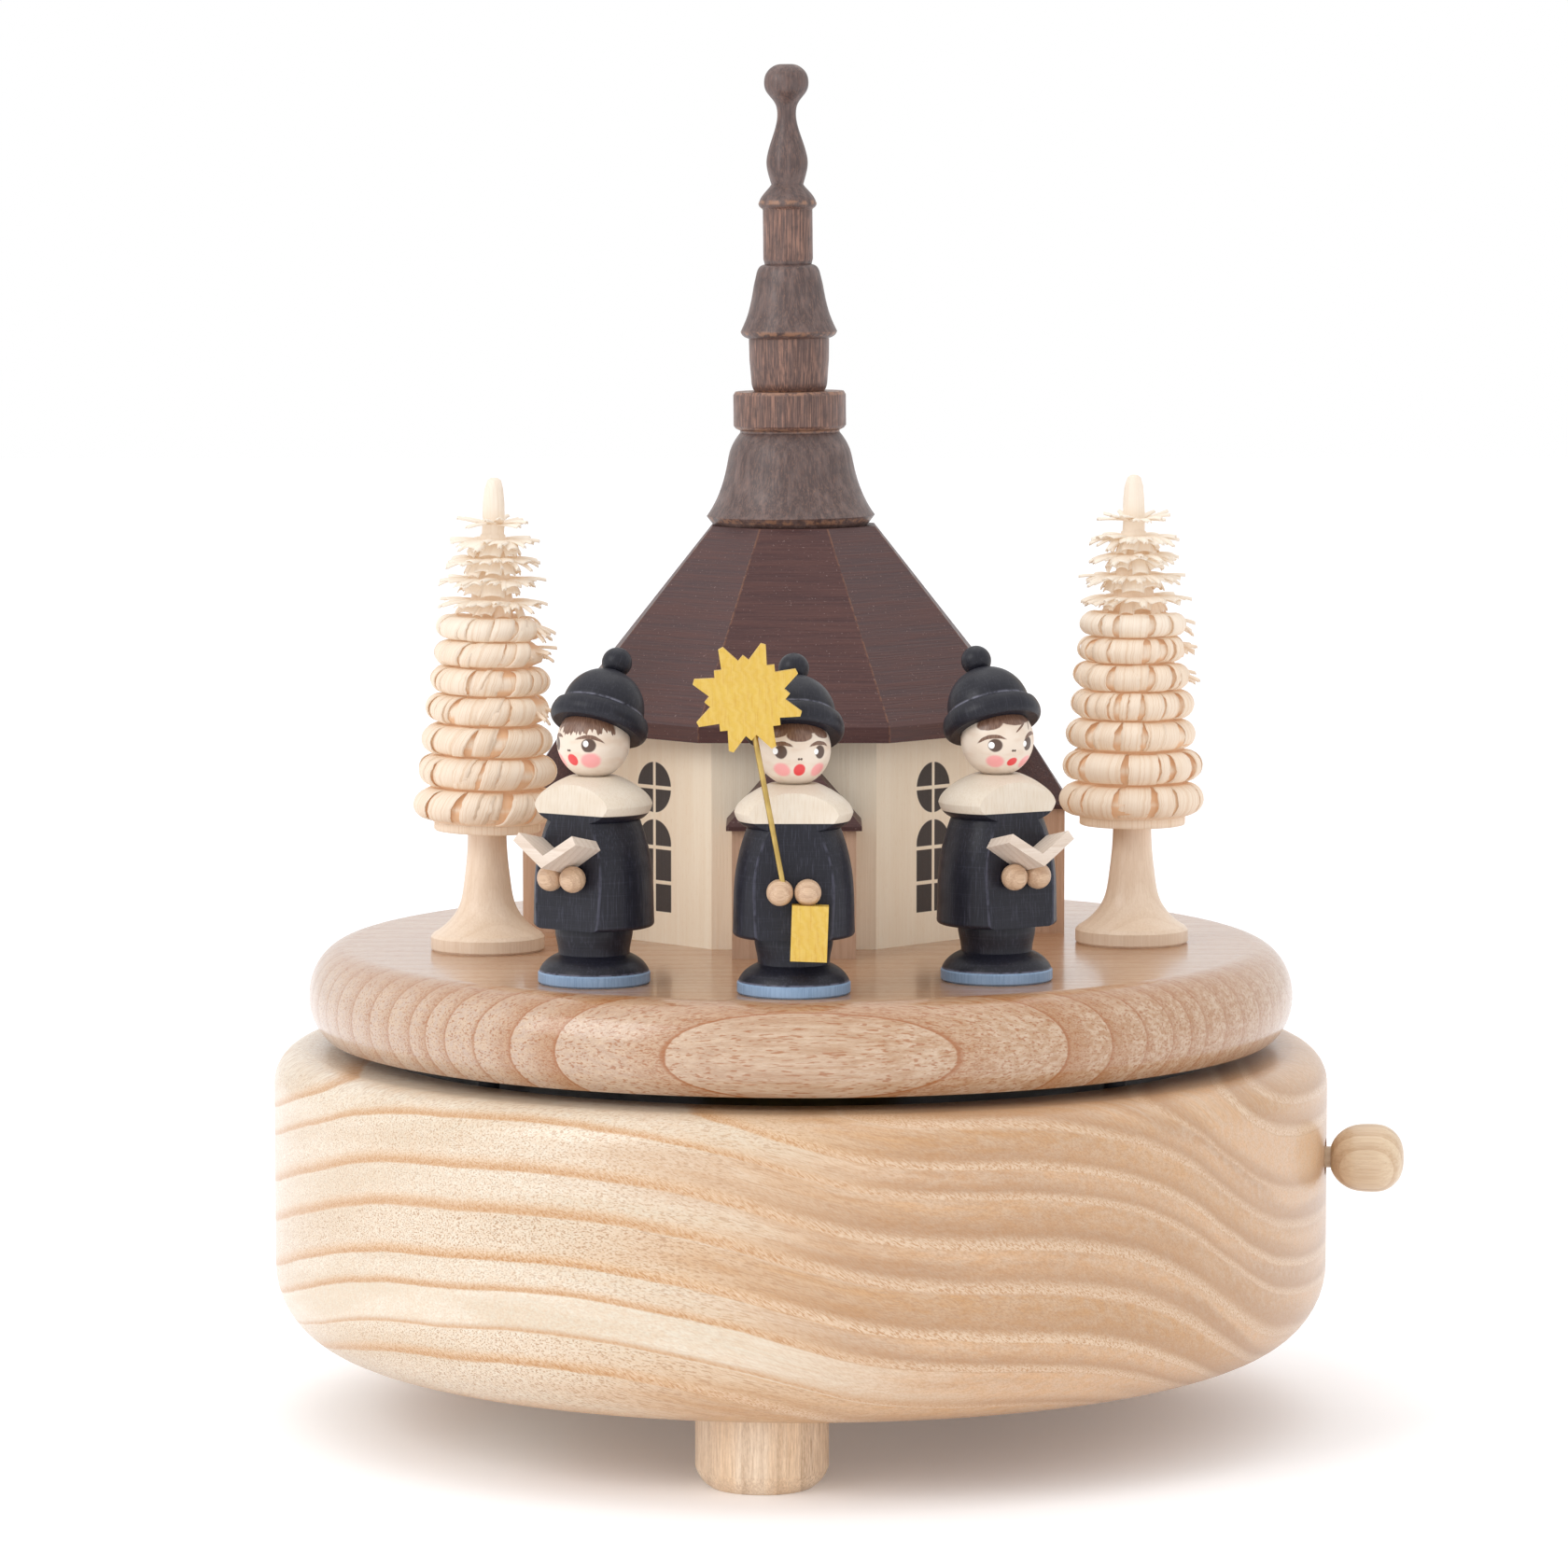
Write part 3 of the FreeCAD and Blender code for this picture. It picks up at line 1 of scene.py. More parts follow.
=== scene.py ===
"""Looks of a wooden music box: ash housing, lacquered turntable, church, carol singers and ring trees."""

import logging
import math
from abc import ABC, abstractmethod
from dataclasses import dataclass, field, replace
from enum import Enum
from typing import Union

import bpy
import numpy as np
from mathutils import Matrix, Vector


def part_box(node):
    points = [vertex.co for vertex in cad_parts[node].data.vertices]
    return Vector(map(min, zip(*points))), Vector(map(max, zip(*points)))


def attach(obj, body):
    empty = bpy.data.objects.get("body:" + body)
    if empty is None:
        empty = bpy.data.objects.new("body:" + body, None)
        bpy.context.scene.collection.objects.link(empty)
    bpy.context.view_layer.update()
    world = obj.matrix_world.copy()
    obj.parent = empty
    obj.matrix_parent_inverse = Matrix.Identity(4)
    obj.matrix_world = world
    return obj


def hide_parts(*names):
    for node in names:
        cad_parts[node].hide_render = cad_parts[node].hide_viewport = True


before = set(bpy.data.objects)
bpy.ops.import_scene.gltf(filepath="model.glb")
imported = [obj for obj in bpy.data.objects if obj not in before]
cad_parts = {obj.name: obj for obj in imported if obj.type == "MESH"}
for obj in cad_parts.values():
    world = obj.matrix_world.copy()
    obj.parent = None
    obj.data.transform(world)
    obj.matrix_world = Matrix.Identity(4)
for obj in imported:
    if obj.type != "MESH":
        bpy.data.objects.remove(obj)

log = logging.getLogger("music_box")

MM = 0.001
RIDES = "turntable"

Pairs = tuple[tuple[float, float], ...]
Feed = Union["Signal", float, str, tuple, bpy.types.NodeSocket]


def linear(shade: str) -> tuple[float, ...]:
    """Turn a screen colour into the linear colour that a shader wants.

    Args:
        shade: Six hexadecimal digits.

    Returns:
        Red, green, blue and an alpha of one.
    """
    levels = [int(shade[place:place + 2], 16) / 255 for place in (0, 2, 4)]
    plain = [level / 12.92 if level <= 0.04045 else ((level + 0.055) / 1.055) ** 2.4 for level in levels]
    return (*plain, 1.0)


def corners(node: str) -> tuple[np.ndarray, np.ndarray]:
    """Lowest and highest corner of a CAD node in metres, as arrays."""
    low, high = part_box(node)
    return np.array(low), np.array(high)


@dataclass(frozen=True)
class Place:
    """Where a pattern stands: a point in metres, and turns in degrees about the upright axis and about Y."""

    x: float = 0.0
    y: float = 0.0
    z: float = 0.0
    turn: float = 0.0
    tilt: float = 0.0

    @classmethod
    def under(cls, node: str, turn: float = 0.0, tilt: float = 0.0) -> "Place":
        """Place at the bottom centre of a CAD node.

        Args:
            node: Name of the node.
            turn: Degrees about the upright axis.
            tilt: Degrees about Y.

        Returns:
            The place.
        """
        low, high = corners(node)
        return cls((low[0] + high[0]) / 2, (low[1] + high[1]) / 2, low[2], turn, tilt)


@dataclass(frozen=True)
class Signal:
    """A node's output that is reckoned with like a number."""

    bench: "NodeBench"
    socket: bpy.types.NodeSocket

    def __add__(self, other: Feed) -> "Signal":
        """Sum of two signals."""
        return self.bench.calc("ADD", self, other)

    def __sub__(self, other: Feed) -> "Signal":
        """Difference of two signals."""
        return self.bench.calc("SUBTRACT", self, other)

    def __rsub__(self, other: Feed) -> "Signal":
        """Difference from a number on the left."""
        return self.bench.calc("SUBTRACT", other, self)

    def __mul__(self, other: Feed) -> "Signal":
        """Product of two signals."""
        return self.bench.calc("MULTIPLY", self, other)

    def __truediv__(self, other: Feed) -> "Signal":
        """Quotient of two signals."""
        return self.bench.calc("DIVIDE", self, other)

    __radd__ = __add__


class Effect(Enum):
    """The effects that several finishes share, with the names of their node groups."""

    RINGS = "growth_rings"
    FIBRE = "wood_fibre"
    PORES = "open_pores"
    SPOT = "painted_spot"
    FACETS = "eight_sided_fold"
    TOOLING = "tool_marks"


class NodeBench:
    """Puts nodes into one tree and joins them with short calls."""

    def __init__(self, tree: bpy.types.NodeTree) -> None:
        """Start on a tree, whose nodes are cleared."""
        self.tree = tree
        tree.nodes.clear()

    def feed(self, socket: bpy.types.NodeSocket, value: Feed) -> None:
        """Link a signal to a socket, or set the socket's own value.

        Args:
            socket: The input.
            value: A signal, a plain value, or a colour in hexadecimal digits.
        """
        if isinstance(value, Signal):
            value = value.socket
        if isinstance(value, bpy.types.NodeSocket):
            self.tree.links.new(value, socket)
        else:
            socket.default_value = linear(value) if isinstance(value, str) else value

    def add(self, kind: str, feeds: dict | None = None, **settings: object) -> bpy.types.Node:
        """Add a shader node.

        Args:
            kind: Blender's type name without its ShaderNode prefix.
            feeds: What goes into each input, by the input's name or number.
            settings: Properties of the node.

        Returns:
            The node.
        """
        node = self.tree.nodes.new("ShaderNode" + kind)
        for name, value in settings.items():
            setattr(node, name, value)
        for key, value in (feeds or {}).items():
            self.feed(node.inputs[key], value)
        return node

    def out(self, node: bpy.types.Node, key: Union[int, str] = 0) -> Signal:
        """One output of a node as a signal."""
        return Signal(self, node.outputs[key])

    def calc(self, operation: str, *terms: Feed) -> Signal:
        """Result of a Math node."""
        return self.out(self.add("Math", dict(enumerate(terms)), operation=operation))

    def vector(self, operation: str, feeds: dict, key: Union[int, str] = 0) -> Signal:
        """Result of a Vector Math node."""
        return self.out(self.add("VectorMath", feeds, operation=operation), key)

    def smooth(self, value: Feed, low: Feed, high: Feed, first: Feed = 0.0, last: Feed = 1.0) -> Signal:
        """Ease from one value to another while the input goes through a range.

        Args:
            value: The input.
            low: Start of the range.
            high: End of the range.
            first: Result at and before the start.
            last: Result at and after the end.

        Returns:
            The eased result.
        """
        feeds = {0: value, 1: low, 2: high, 3: first, 4: last}
        return self.out(self.add("MapRange", feeds, interpolation_type="SMOOTHSTEP"))

    def fade(self, value: Feed, low: Feed, high: Feed, last: float = 0.0) -> Signal:
        """Ease from one down to a last value while the input goes through a range."""
        return self.smooth(value, low, high, 1.0, last)

    def within(self, value: Feed, low: float, high: float, blur: float) -> Signal:
        """One inside a range and none outside it, with soft ends."""
        return self.smooth(value, low - blur, low + blur) * self.fade(value, high - blur, high + blur)

    def most(self, first: Feed, *others: Feed) -> Feed:
        """Largest of several values.

        Args:
            first: The first value.
            others: The other values.

        Returns:
            The largest.
        """
        for other in others:
            first = self.calc("MAXIMUM", first, other)
        return first

    def mix(self, share: Feed, first: Feed, second: Feed) -> Signal:
        """Colour between two others, by how much of the second shows."""
        return self.out(self.add("Mix", {0: share, 6: first, 7: second}, data_type="RGBA"), 2)

    def layers(self, ground: Feed, *coats: tuple[Feed, Feed]) -> Feed:
        """Lay colours over a ground, one after the other.

        Args:
            ground: The lowest colour.
            coats: How much of each coat shows, and its colour.

        Returns:
            The colour on top.
        """
        for share, shade in coats:
            ground = self.mix(share, ground, shade)
        return ground

    def vary(self, signal: Feed, around: float, spread: float) -> Signal:
        """Turn a value from none to one into a factor around a number."""
        return self.calc("MULTIPLY_ADD", signal, 2 * spread, around - spread)

    def noise(self, vector: Feed, size: float | tuple[float, float, float] = 1.0, detail: float = 2.0,
              roughness: float = 0.5) -> Signal:
        """Cloudy noise whose cells have a given size.

        Args:
            vector: Position in millimetres.
            size: Cell size in millimetres, or one for each of X, Y and Z.
            detail: Octaves.
            roughness: Strength of the finer octaves.

        Returns:
            A value around a half.
        """
        sizes = size if isinstance(size, tuple) else (size,) * 3
        fitted = self.vector("MULTIPLY", {0: vector, 1: tuple(1 / side for side in sizes)})
        feeds = {"Vector": fitted, "Scale": 1.0, "Detail": detail, "Roughness": roughness}
        return self.out(self.add("TexNoise", feeds))

    def clouds(self, vector: Feed, size: float | tuple[float, float, float], detail: float, low: float,
               high: float) -> Signal:
        """Mask of the places where noise is high: its values are eased over a range."""
        return self.smooth(self.noise(vector, size, detail), low, high)

    def chance(self, number: Feed) -> Signal:
        """A random value for each whole number."""
        return self.out(self.add("TexWhiteNoise", {"W": number}, noise_dimensions="1D"))

    def split(self, vector: Feed) -> tuple[Signal, Signal, Signal]:
        """The three parts of a vector."""
        node = self.add("SeparateXYZ", {0: vector})
        return self.out(node, 0), self.out(node, 1), self.out(node, 2)

    def join(self, x: Feed, y: Feed, z: Feed = 0.0) -> Signal:
        """A vector from three parts."""
        return self.out(self.add("CombineXYZ", {0: x, 1: y, 2: z}))

    def reach(self, x: Feed, y: Feed) -> Signal:
        """Distance of a flat point from the origin."""
        return self.vector("LENGTH", {0: self.join(x, y)}, "Value")

    def curve(self, value: Signal, points: Pairs, handle: str = "AUTO") -> Signal:
        """Curve through points, with the input and the result in real units.

        Args:
            value: The input.
            points: Pairs of input and result, in rising order of input.
            handle: Blender's name of the handles, which make the curve smooth or straight between the points.

        Returns:
            The curve's value.
        """
        table = np.array(points)
        low, high = table.min(axis=0), table.max(axis=0)
        node = self.add("FloatCurve", {"Value": (value - low[0]) / (high[0] - low[0])})
        spline = node.mapping.curves[0].points
        for number, place in enumerate((table - low) / (high - low)):
            if number < 2:
                spline[number].location = place
            else:
                spline.new(*place)
        for point in spline:
            point.handle_type = handle
        node.mapping.update()
        return self.out(node) * (high[1] - low[1]) + low[1]

    def effect(self, effect: Effect, vector: Feed, **feeds: Feed) -> list[Signal]:
        """Place a shared effect with its own values.

        Args:
            effect: The effect.
            vector: Position in millimetres.
            feeds: Its other inputs by name.

        Returns:
            The effect's outputs in order.
        """
        node = self.tree.nodes.new("ShaderNodeGroup")
        node.node_tree = EFFECTS.tree(effect)
        for key, value in {"Vector": vector, **feeds}.items():
            self.feed(node.inputs[key], value)
        return [Signal(self, socket) for socket in node.outputs]

    def pores(self, vector: Feed, length: float, width: float, amount: float) -> Signal:
        """Dark dashes along X, of a length and a width in millimetres."""
        return self.effect(Effect.PORES, vector, Length=length, Width=width, Amount=amount)[0]


class EffectShelf:
    """Builds each shared effect once, as a node group, by the method that has the effect's name."""

    def __init__(self) -> None:
        """Start with no group built."""
        self.built: dict[Effect, bpy.types.NodeTree] = {}

    def tree(self, effect: Effect) -> bpy.types.NodeTree:
        """Node group of an effect, built the first time that it is asked for.

        Args:
            effect: The effect.

        Returns:
            The group.
        """
        if effect not in self.built:
            self.built[effect] = getattr(self, effect.name.lower())()
        return self.built[effect]

    def start(self, effect: Effect, **takes: float) -> tuple:
        """Begin the group of an effect, which reads a vector and values.

        Args:
            effect: The effect.
            takes: The values that it reads, by name, as they are at first.

        Returns:
            The bench, the vector, and the values in order.
        """
        tree = bpy.data.node_groups.new(effect.value, "ShaderNodeTree")
        for title, value in {"Vector": (0.0, 0.0, 0.0), **takes}.items():
            kind = "NodeSocketVector" if isinstance(value, tuple) else "NodeSocketFloat"
            tree.interface.new_socket(name=title, in_out="INPUT", socket_type=kind).default_value = value
        bench = NodeBench(tree)
        given = tree.nodes.new("NodeGroupInput").outputs
        return bench, *(Signal(bench, given[title]) for title in ("Vector", *takes))

    def end(self, bench: NodeBench, **gives: Signal) -> bpy.types.NodeTree:
        """End a group with its outputs.

        Args:
            bench: The group's bench.
            gives: The outputs by name.

        Returns:
            The group.
        """
        for title in gives:
            bench.tree.interface.new_socket(name=title, in_out="OUTPUT", socket_type="NodeSocketFloat")
        final = bench.tree.nodes.new("NodeGroupOutput")
        for title, value in gives.items():
            bench.feed(final.inputs[title], value)
        return bench.tree

    def rings(self) -> bpy.types.NodeTree:
        """Growth rings: the field over the spacing is counted, and each count starts sharply and fades out.

        Returns:
            The group.
        """
        bench, vector, level, spacing, share, wander, uneven, thin = self.start(
            Effect.RINGS, Field=0.0, Spacing=5.0, Share=0.3, Wander=1.5, Uneven=1.0, Thin=0.13)
        slow = bench.noise(vector, 34.0, 1.0) - 0.5
        quick = bench.noise(vector, 5.0) - 0.5
        bent = level + (slow * 2.0 + quick * 0.35) * wander
        waves = bench.calc("SINE", bent * 0.23) * 0.3 + bench.calc("SINE", bent * 0.57 + 1.0) * 0.16
        count = bent / spacing + waves * uneven
        tone = bench.chance(bench.calc("FLOOR", count))
        part = bench.calc("FRACT", count)
        width = share * bench.vary(tone, 1.0, 0.45)
        rise = bench.smooth(part, 0.0, thin * 0.25)
        return self.end(bench, Band=rise * bench.fade(part, width * 0.3, width * 2.0),
                        Line=rise * bench.fade(part, thin * 0.3, thin),
                        After=rise * bench.fade(part, width * 1.2, width * 5.0), Tone=tone)

    def fibre(self) -> bpy.types.NodeTree:
        """Fine streaks along X: noise with cells that are long and thin, in two sizes.

        Returns:
            The group.
        """
        bench, vector, length, width = self.start(Effect.FIBRE, Length=9.0, Width=0.3)
        x, y, z = bench.split(vector)
        parts = []
        for longer, wider in ((1.0, 1.0), (3.1, 3.4)):
            across = width * wider
            place = bench.join(x / (length * longer), y / across, z / across)
            parts.append(bench.noise(place, roughness=0.6))
        fine, coarse = parts
        return self.end(bench, Streaks=bench.smooth(fine * 0.6 + coarse * 0.4, 0.33, 0.67),
                        Sheen=bench.smooth(coarse, 0.3, 0.7))

    def pores(self) -> bpy.types.NodeTree:
        """Short dark dashes along X: long thin noise cells, of which only the highest show.

        Returns:
            The group.
        """
        bench, vector, length, width, amount = self.start(Effect.PORES, Length=2.0, Width=0.25, Amount=0.5)
        x, y, z = bench.split(vector)
        grain = bench.noise(bench.join(x / length, y / width, z / width), detail=1.0)
        low = 0.78 - amount * 0.4
        return self.end(bench, Pores=bench.smooth(grain, low, low + 0.1))

    def spot(self) -> bpy.types.NodeTree:
        """A brush mark on a ball: the direction is turned to the mark's middle, where an ellipse is measured.

        Returns:
            The group.
        """
        bench, vector, radius, azimuth, elevation, turn, wide, tall, bend, blur = self.start(
            Effect.SPOT, Radius=5.0, Azimuth=0.0, Elevation=0.0, Turn=0.0, Wide=1.0, Tall=1.0, Bend=0.0,
            Blur=0.1)
        facing = bench.vector("NORMALIZE", {0: vector})
        for axis, angle in (("Z_AXIS", azimuth * -1.0), ("X_AXIS", elevation), ("Y_AXIS", turn)):
            feeds = {"Vector": facing, "Angle": bench.calc("RADIANS", angle)}
            facing = bench.add("VectorRotate", feeds, rotation_type=axis).outputs[0]
        x, y, z = bench.split(facing)
        across = x * radius
        up = z * radius + across * across * bend
        mask = bench.fade(bench.reach(across / wide, up / tall), 1.0 - blur, 1.0 + blur)
        return self.end(bench, Mask=mask * bench.fade(y, -0.1, 0.0))

    def facets(self) -> bpy.types.NodeTree:
        """Eight sided tower folded onto one side: across the side, out from the axis, and which side it is.

        Returns:
            The group.
        """
        bench, vector = self.start(Effect.FACETS)
        x, y, _ = bench.split(vector)
        side_angle = math.pi / 4
        angle = bench.calc("ARCTAN2", y, x)
        side = bench.calc("ROUND", angle / side_angle)
        rest = angle - side * side_angle
        radius = bench.reach(x, y)
        return self.end(bench, Across=radius * bench.calc("SINE", rest),
                        Out=radius * bench.calc("COSINE", rest), Side=side)

    def tooling(self) -> bpy.types.NodeTree:
        """Marks of a tool or a brush: noise drawn out to hair lines along Z, with broad patches over it.

        Returns:
            The group.
        """
        bench, vector, length, width = self.start(Effect.TOOLING, Length=8.0, Width=0.12)
        x, y, z = bench.split(vector)
        place = bench.join(x / width, y / width, z / length)
        return self.end(bench, Lines=bench.noise(place, 1.0, 3.0, 0.6),
                        Patches=bench.clouds(vector, 3.0, 2.0, 0.3, 0.7))


EFFECTS = EffectShelf()


@dataclass(frozen=True)
class Surface:
    """What a finish puts on the shader: a colour, and where they change a roughness and a height."""

    colour: Signal
    roughness: Signal | None = None
    height: Signal | None = None


@dataclass(frozen=True, kw_only=True)
class Finish(ABC):
    """A finish on one kind of piece, with the constant values of its shader."""

    name: str
    place: Place = Place()
    roughness: float = 0.5
    metallic: float = 0.0
    coat: float = 0.0
    coat_roughness: float = 0.1
    relief: float = 0.05
    specular: float = 0.5
    glow: float = 0.0
    glow_shade: str = "ffffff"

    @abstractmethod
    def paint(self, bench: NodeBench, spot: Signal) -> Surface:
        """Work out the surface at a position in millimetres about the pattern's place."""

    def position(self, bench: NodeBench) -> Signal:
        """Position on the piece in millimetres about the pattern's place.

        Args:
            bench: The material's bench.

        Returns:
            The position, turned and tilted back by the place's angles.
        """
        place = self.place
        feeds = {
            "Vector": bench.add("TexCoord").outputs["Object"],
            "Location": (place.x, place.y, place.z),
            "Rotation": (0.0, math.radians(place.tilt), math.radians(place.turn)),
            "Scale": (MM, MM, MM),
        }
        return bench.out(bench.add("Mapping", feeds, vector_type="TEXTURE"))

    def material(self) -> bpy.types.Material:
        """The finish as a material, built the first time that it is asked for.

        Returns:
            The material.
        """
        made = bpy.data.materials.get(self.name)
        if made is not None:
            return made
        made = bpy.data.materials.new(self.name)
        made.use_nodes = True
        bench = NodeBench(made.node_tree)
        surface = self.paint(bench, self.position(bench))
        feeds = {
            "Base Color": surface.colour,
            "Roughness": self.roughness if surface.roughness is None else surface.roughness,
            "Metallic": self.metallic,
            "Coat Weight": self.coat,
            "Coat Roughness": self.coat_roughness,
            "Specular IOR Level": self.specular,
            "Emission Color": self.glow_shade,
            "Emission Strength": self.glow,
        }
        if surface.height is not None:
            bump = {"Height": surface.height, "Strength": 1.0, "Distance": self.relief * MM}
            feeds["Normal"] = bench.add("Bump", bump).outputs[0]
        bench.add("OutputMaterial", {"Surface": bench.add("BsdfPrincipled", feeds).outputs[0]})
        return made


def dress(finish: Finish, *nodes: str) -> None:
    """Give CAD nodes a finish.

    Args:
        finish: The finish.
        nodes: Names of the nodes.
    """
    for node in nodes:
        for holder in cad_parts[node].material_slots:
            holder.material = finish.material()
        log.info("%s wears %s", node, finish.name)


@dataclass(frozen=True, kw_only=True)
class AshFinish(Finish):
    """Oiled ash: cream wood with a sharp line and a soft band for each year, honey coloured towards +X."""

    pale: str = "d6cab6"
    white: str = "e6dfd0"
    honey: str = "d3aa82"
    band: str = "cc9a60"
    honey_band: str = "a57c58"
    gold: str = "d8a668"
    dash: str = "e6cfb4"
    line: str = "ad7439"
    spacing: float = 5.5
    share: float = 0.17
    wander: float = 0.9
    honey_from: float = -30.0
    honey_to: float = 22.0
    streak_share: float = 0.36
    hair_share: float = 0.65
    mark_share: float = 1.0
    slant: float = 0.5
    sweep: Pairs = ()

    def paint(self, bench: NodeBench, spot: Signal) -> Surface:
        """Ring field: height plus the sweep of the rings along X, counted upwards; the fibre follows it.

        Args:
            bench: The material's bench.
            spot: Position in millimetres.

        Returns:
            The surface.
        """
        x, y, z = bench.split(spot)
        level = z + bench.curve(x, self.sweep) if self.sweep else z
        band, line, after, tone = bench.effect(
            Effect.RINGS, spot, Field=level, Spacing=self.spacing, Share=self.share, Wander=self.wander,
            Uneven=0.55, Thin=0.26)
        laid = bench.join(x, y, level)
        streaks, sheen = bench.effect(Effect.FIBRE, laid, Length=7.0, Width=0.3)
        hairs = bench.pores(laid, 2.8, 0.17, 0.64) * self.hair_share
        slanted = level + x * self.slant
        dark_dashes, light_dashes = (
            bench.pores(bench.join(x + aside, y, slanted), 0.75, 0.2, 0.76) for aside in (0.0, 50.0))
        cloud = bench.noise(bench.join(x, y, level * 2.2), (30.0, 30.0, 9.0))
        honey = bench.smooth(x + (cloud - 0.5) * 46.0 + (tone - 0.5) * 26.0, self.honey_from, self.honey_to)
        zone = bench.smooth(cloud + (tone - 0.5) * 0.3, 0.4, 0.66) * honey
        # colour of the darker streaks and of the band after each ring line: grain, not shade
        darker_grain = bench.mix(honey, self.band, self.honey_band)
        mark = bench.mix(honey * 0.9, self.band, self.dash)
        marked = band * (tone * 0.35 + 0.5 - honey * 0.02) * self.mark_share
        colour = bench.layers(
            self.pale,
            (bench.smooth(cloud, 0.35, 0.6) * 0.7, self.white),
            (honey, self.honey),
            (zone * 0.6, self.honey_band),
            (bench.smooth(tone, 0.5, 0.85) * (honey * 0.35 + 0.05), self.gold),
            (streaks * self.streak_share, darker_grain),
            (sheen * 0.22, self.white),
            (hairs * (tone * 1.1 + 0.2) * (1.0 - honey * 0.5), self.honey_band),
            (after * (honey * 0.6 + 0.05) * self.mark_share, darker_grain),
            (marked, mark),
            (dark_dashes * (marked * 0.6 + honey * 0.12 + 0.1), self.line),
            (light_dashes * (marked * 0.7 + 0.06), self.dash),
            (line * (0.35 - honey * 0.22) * self.mark_share, self.line))
        return Surface(colour, bench.vary(streaks, 0.42, 0.08), streaks * 0.3 - dark_dashes * marked)


@dataclass(frozen=True, kw_only=True)
class DiscFinish(Finish):
    """Glossy lacquered wood of the turntable: rings lie across it, and open into ovals on the round edge."""

    ground: str = "b48f6e"
    # lighter, greyer colour at the left: painted light
    left: str = "c0aa9a"
    pale: str = "d0b9a1"
    band: str = "aa7a50"
    line: str = "9c5d2c"
    share: float = 0.3
    wander: float = 0.12
    lean: float = -0.022
    counts: Pairs = ()

    def paint(self, bench: NodeBench, spot: Signal) -> Surface:
        """Ring field: the ring number over the distance from the front, which leans a little to one side.

        Args:
            bench: The material's bench.
            spot: Position in millimetres.

        Returns:
            The surface.
        """
        x, y, z = bench.split(spot)
        aside = bench.calc("ABSOLUTE", x)
        soft = bench.fade(aside, 25.0, 60.0, 0.4)
        thin = bench.smooth(aside, 16.0, 55.0, 0.05, 0.16)
        counted = bench.curve(y + x * self.lean, self.counts, "VECTOR")
        band, line, _, tone = bench.effect(
            Effect.RINGS, spot, Field=counted, Spacing=1.0, Share=self.share, Wander=self.wander, Uneven=0.0,
            Thin=thin)
        streaks, sheen = bench.effect(Effect.FIBRE, spot, Length=4.0, Width=0.18)
        pores = bench.pores(spot, 1.0, 0.15, 0.68)
        strokes = bench.pores(spot, 2.0, 0.26, 0.54)
        colour = bench.layers(
            self.left,
            # painted light: lighter and greyer at the left, where the light falls, and darker at the right
            (bench.smooth(x, -60.0, 20.0), self.ground),
            (bench.smooth(x, 15.0, 60.0) * 0.5, self.band),
            (sheen, self.pale),
            # painted shade: the top flat is darker than the round edge
            (bench.smooth(z, 9.0, 12.6) * 0.55, self.band),
            (streaks * 0.28, self.band),
            (band * soft * (tone * 0.5 + 0.3), self.band),
            (pores * (band * 0.4 + 0.12), self.line),
            (strokes * 0.7, self.line),
            (line * soft * 0.8, self.line))
        return Surface(colour, None, pores * -1.0)


@dataclass(frozen=True, kw_only=True)
class PaleFinish(Finish):
    """Plain close grained wood with fibre along X: faint streaks, soft year lines and fine pores."""

    ground: str = "e3cdae"
    dark: str = "c79f76"
    streak_share: float = 0.35
    ring_spacing: float = 2.4
    ring_share: float = 0.25
    fibre_length: float = 10.0
    fibre_width: float = 0.35
    pore_share: float = 0.15

    def grain(self, bench: NodeBench, spot: Signal) -> tuple[Signal, Signal]:
        """Colour and streaks of the bare wood.

        Args:
            bench: The material's bench.
            spot: Position in millimetres.

        Returns:
            The colour, and the streaks from none to one.
        """
        _, y, z = bench.split(spot)
        streaks, sheen = bench.effect(Effect.FIBRE, spot, Length=self.fibre_length, Width=self.fibre_width)
        band, *_ = bench.effect(Effect.RINGS, spot, Field=y + z * 0.35, Share=0.5, Wander=0.8,
                                Spacing=self.ring_spacing)
        pores = bench.pores(spot, 1.2, 0.16, 0.45)
        cloud = bench.noise(spot, (18.0, 9.0, 9.0))
        share = streaks * self.streak_share + band * self.ring_share + (cloud - 0.5) * 0.3
        share = bench.most(share + pores * self.pore_share - sheen * 0.1, 0.0)
        return bench.mix(share, self.ground, self.dark), streaks

    def paint(self, bench: NodeBench, spot: Signal) -> Surface:
        """The bare wood as it is."""
        colour, streaks = self.grain(bench, spot)
        return Surface(colour, None, streaks)


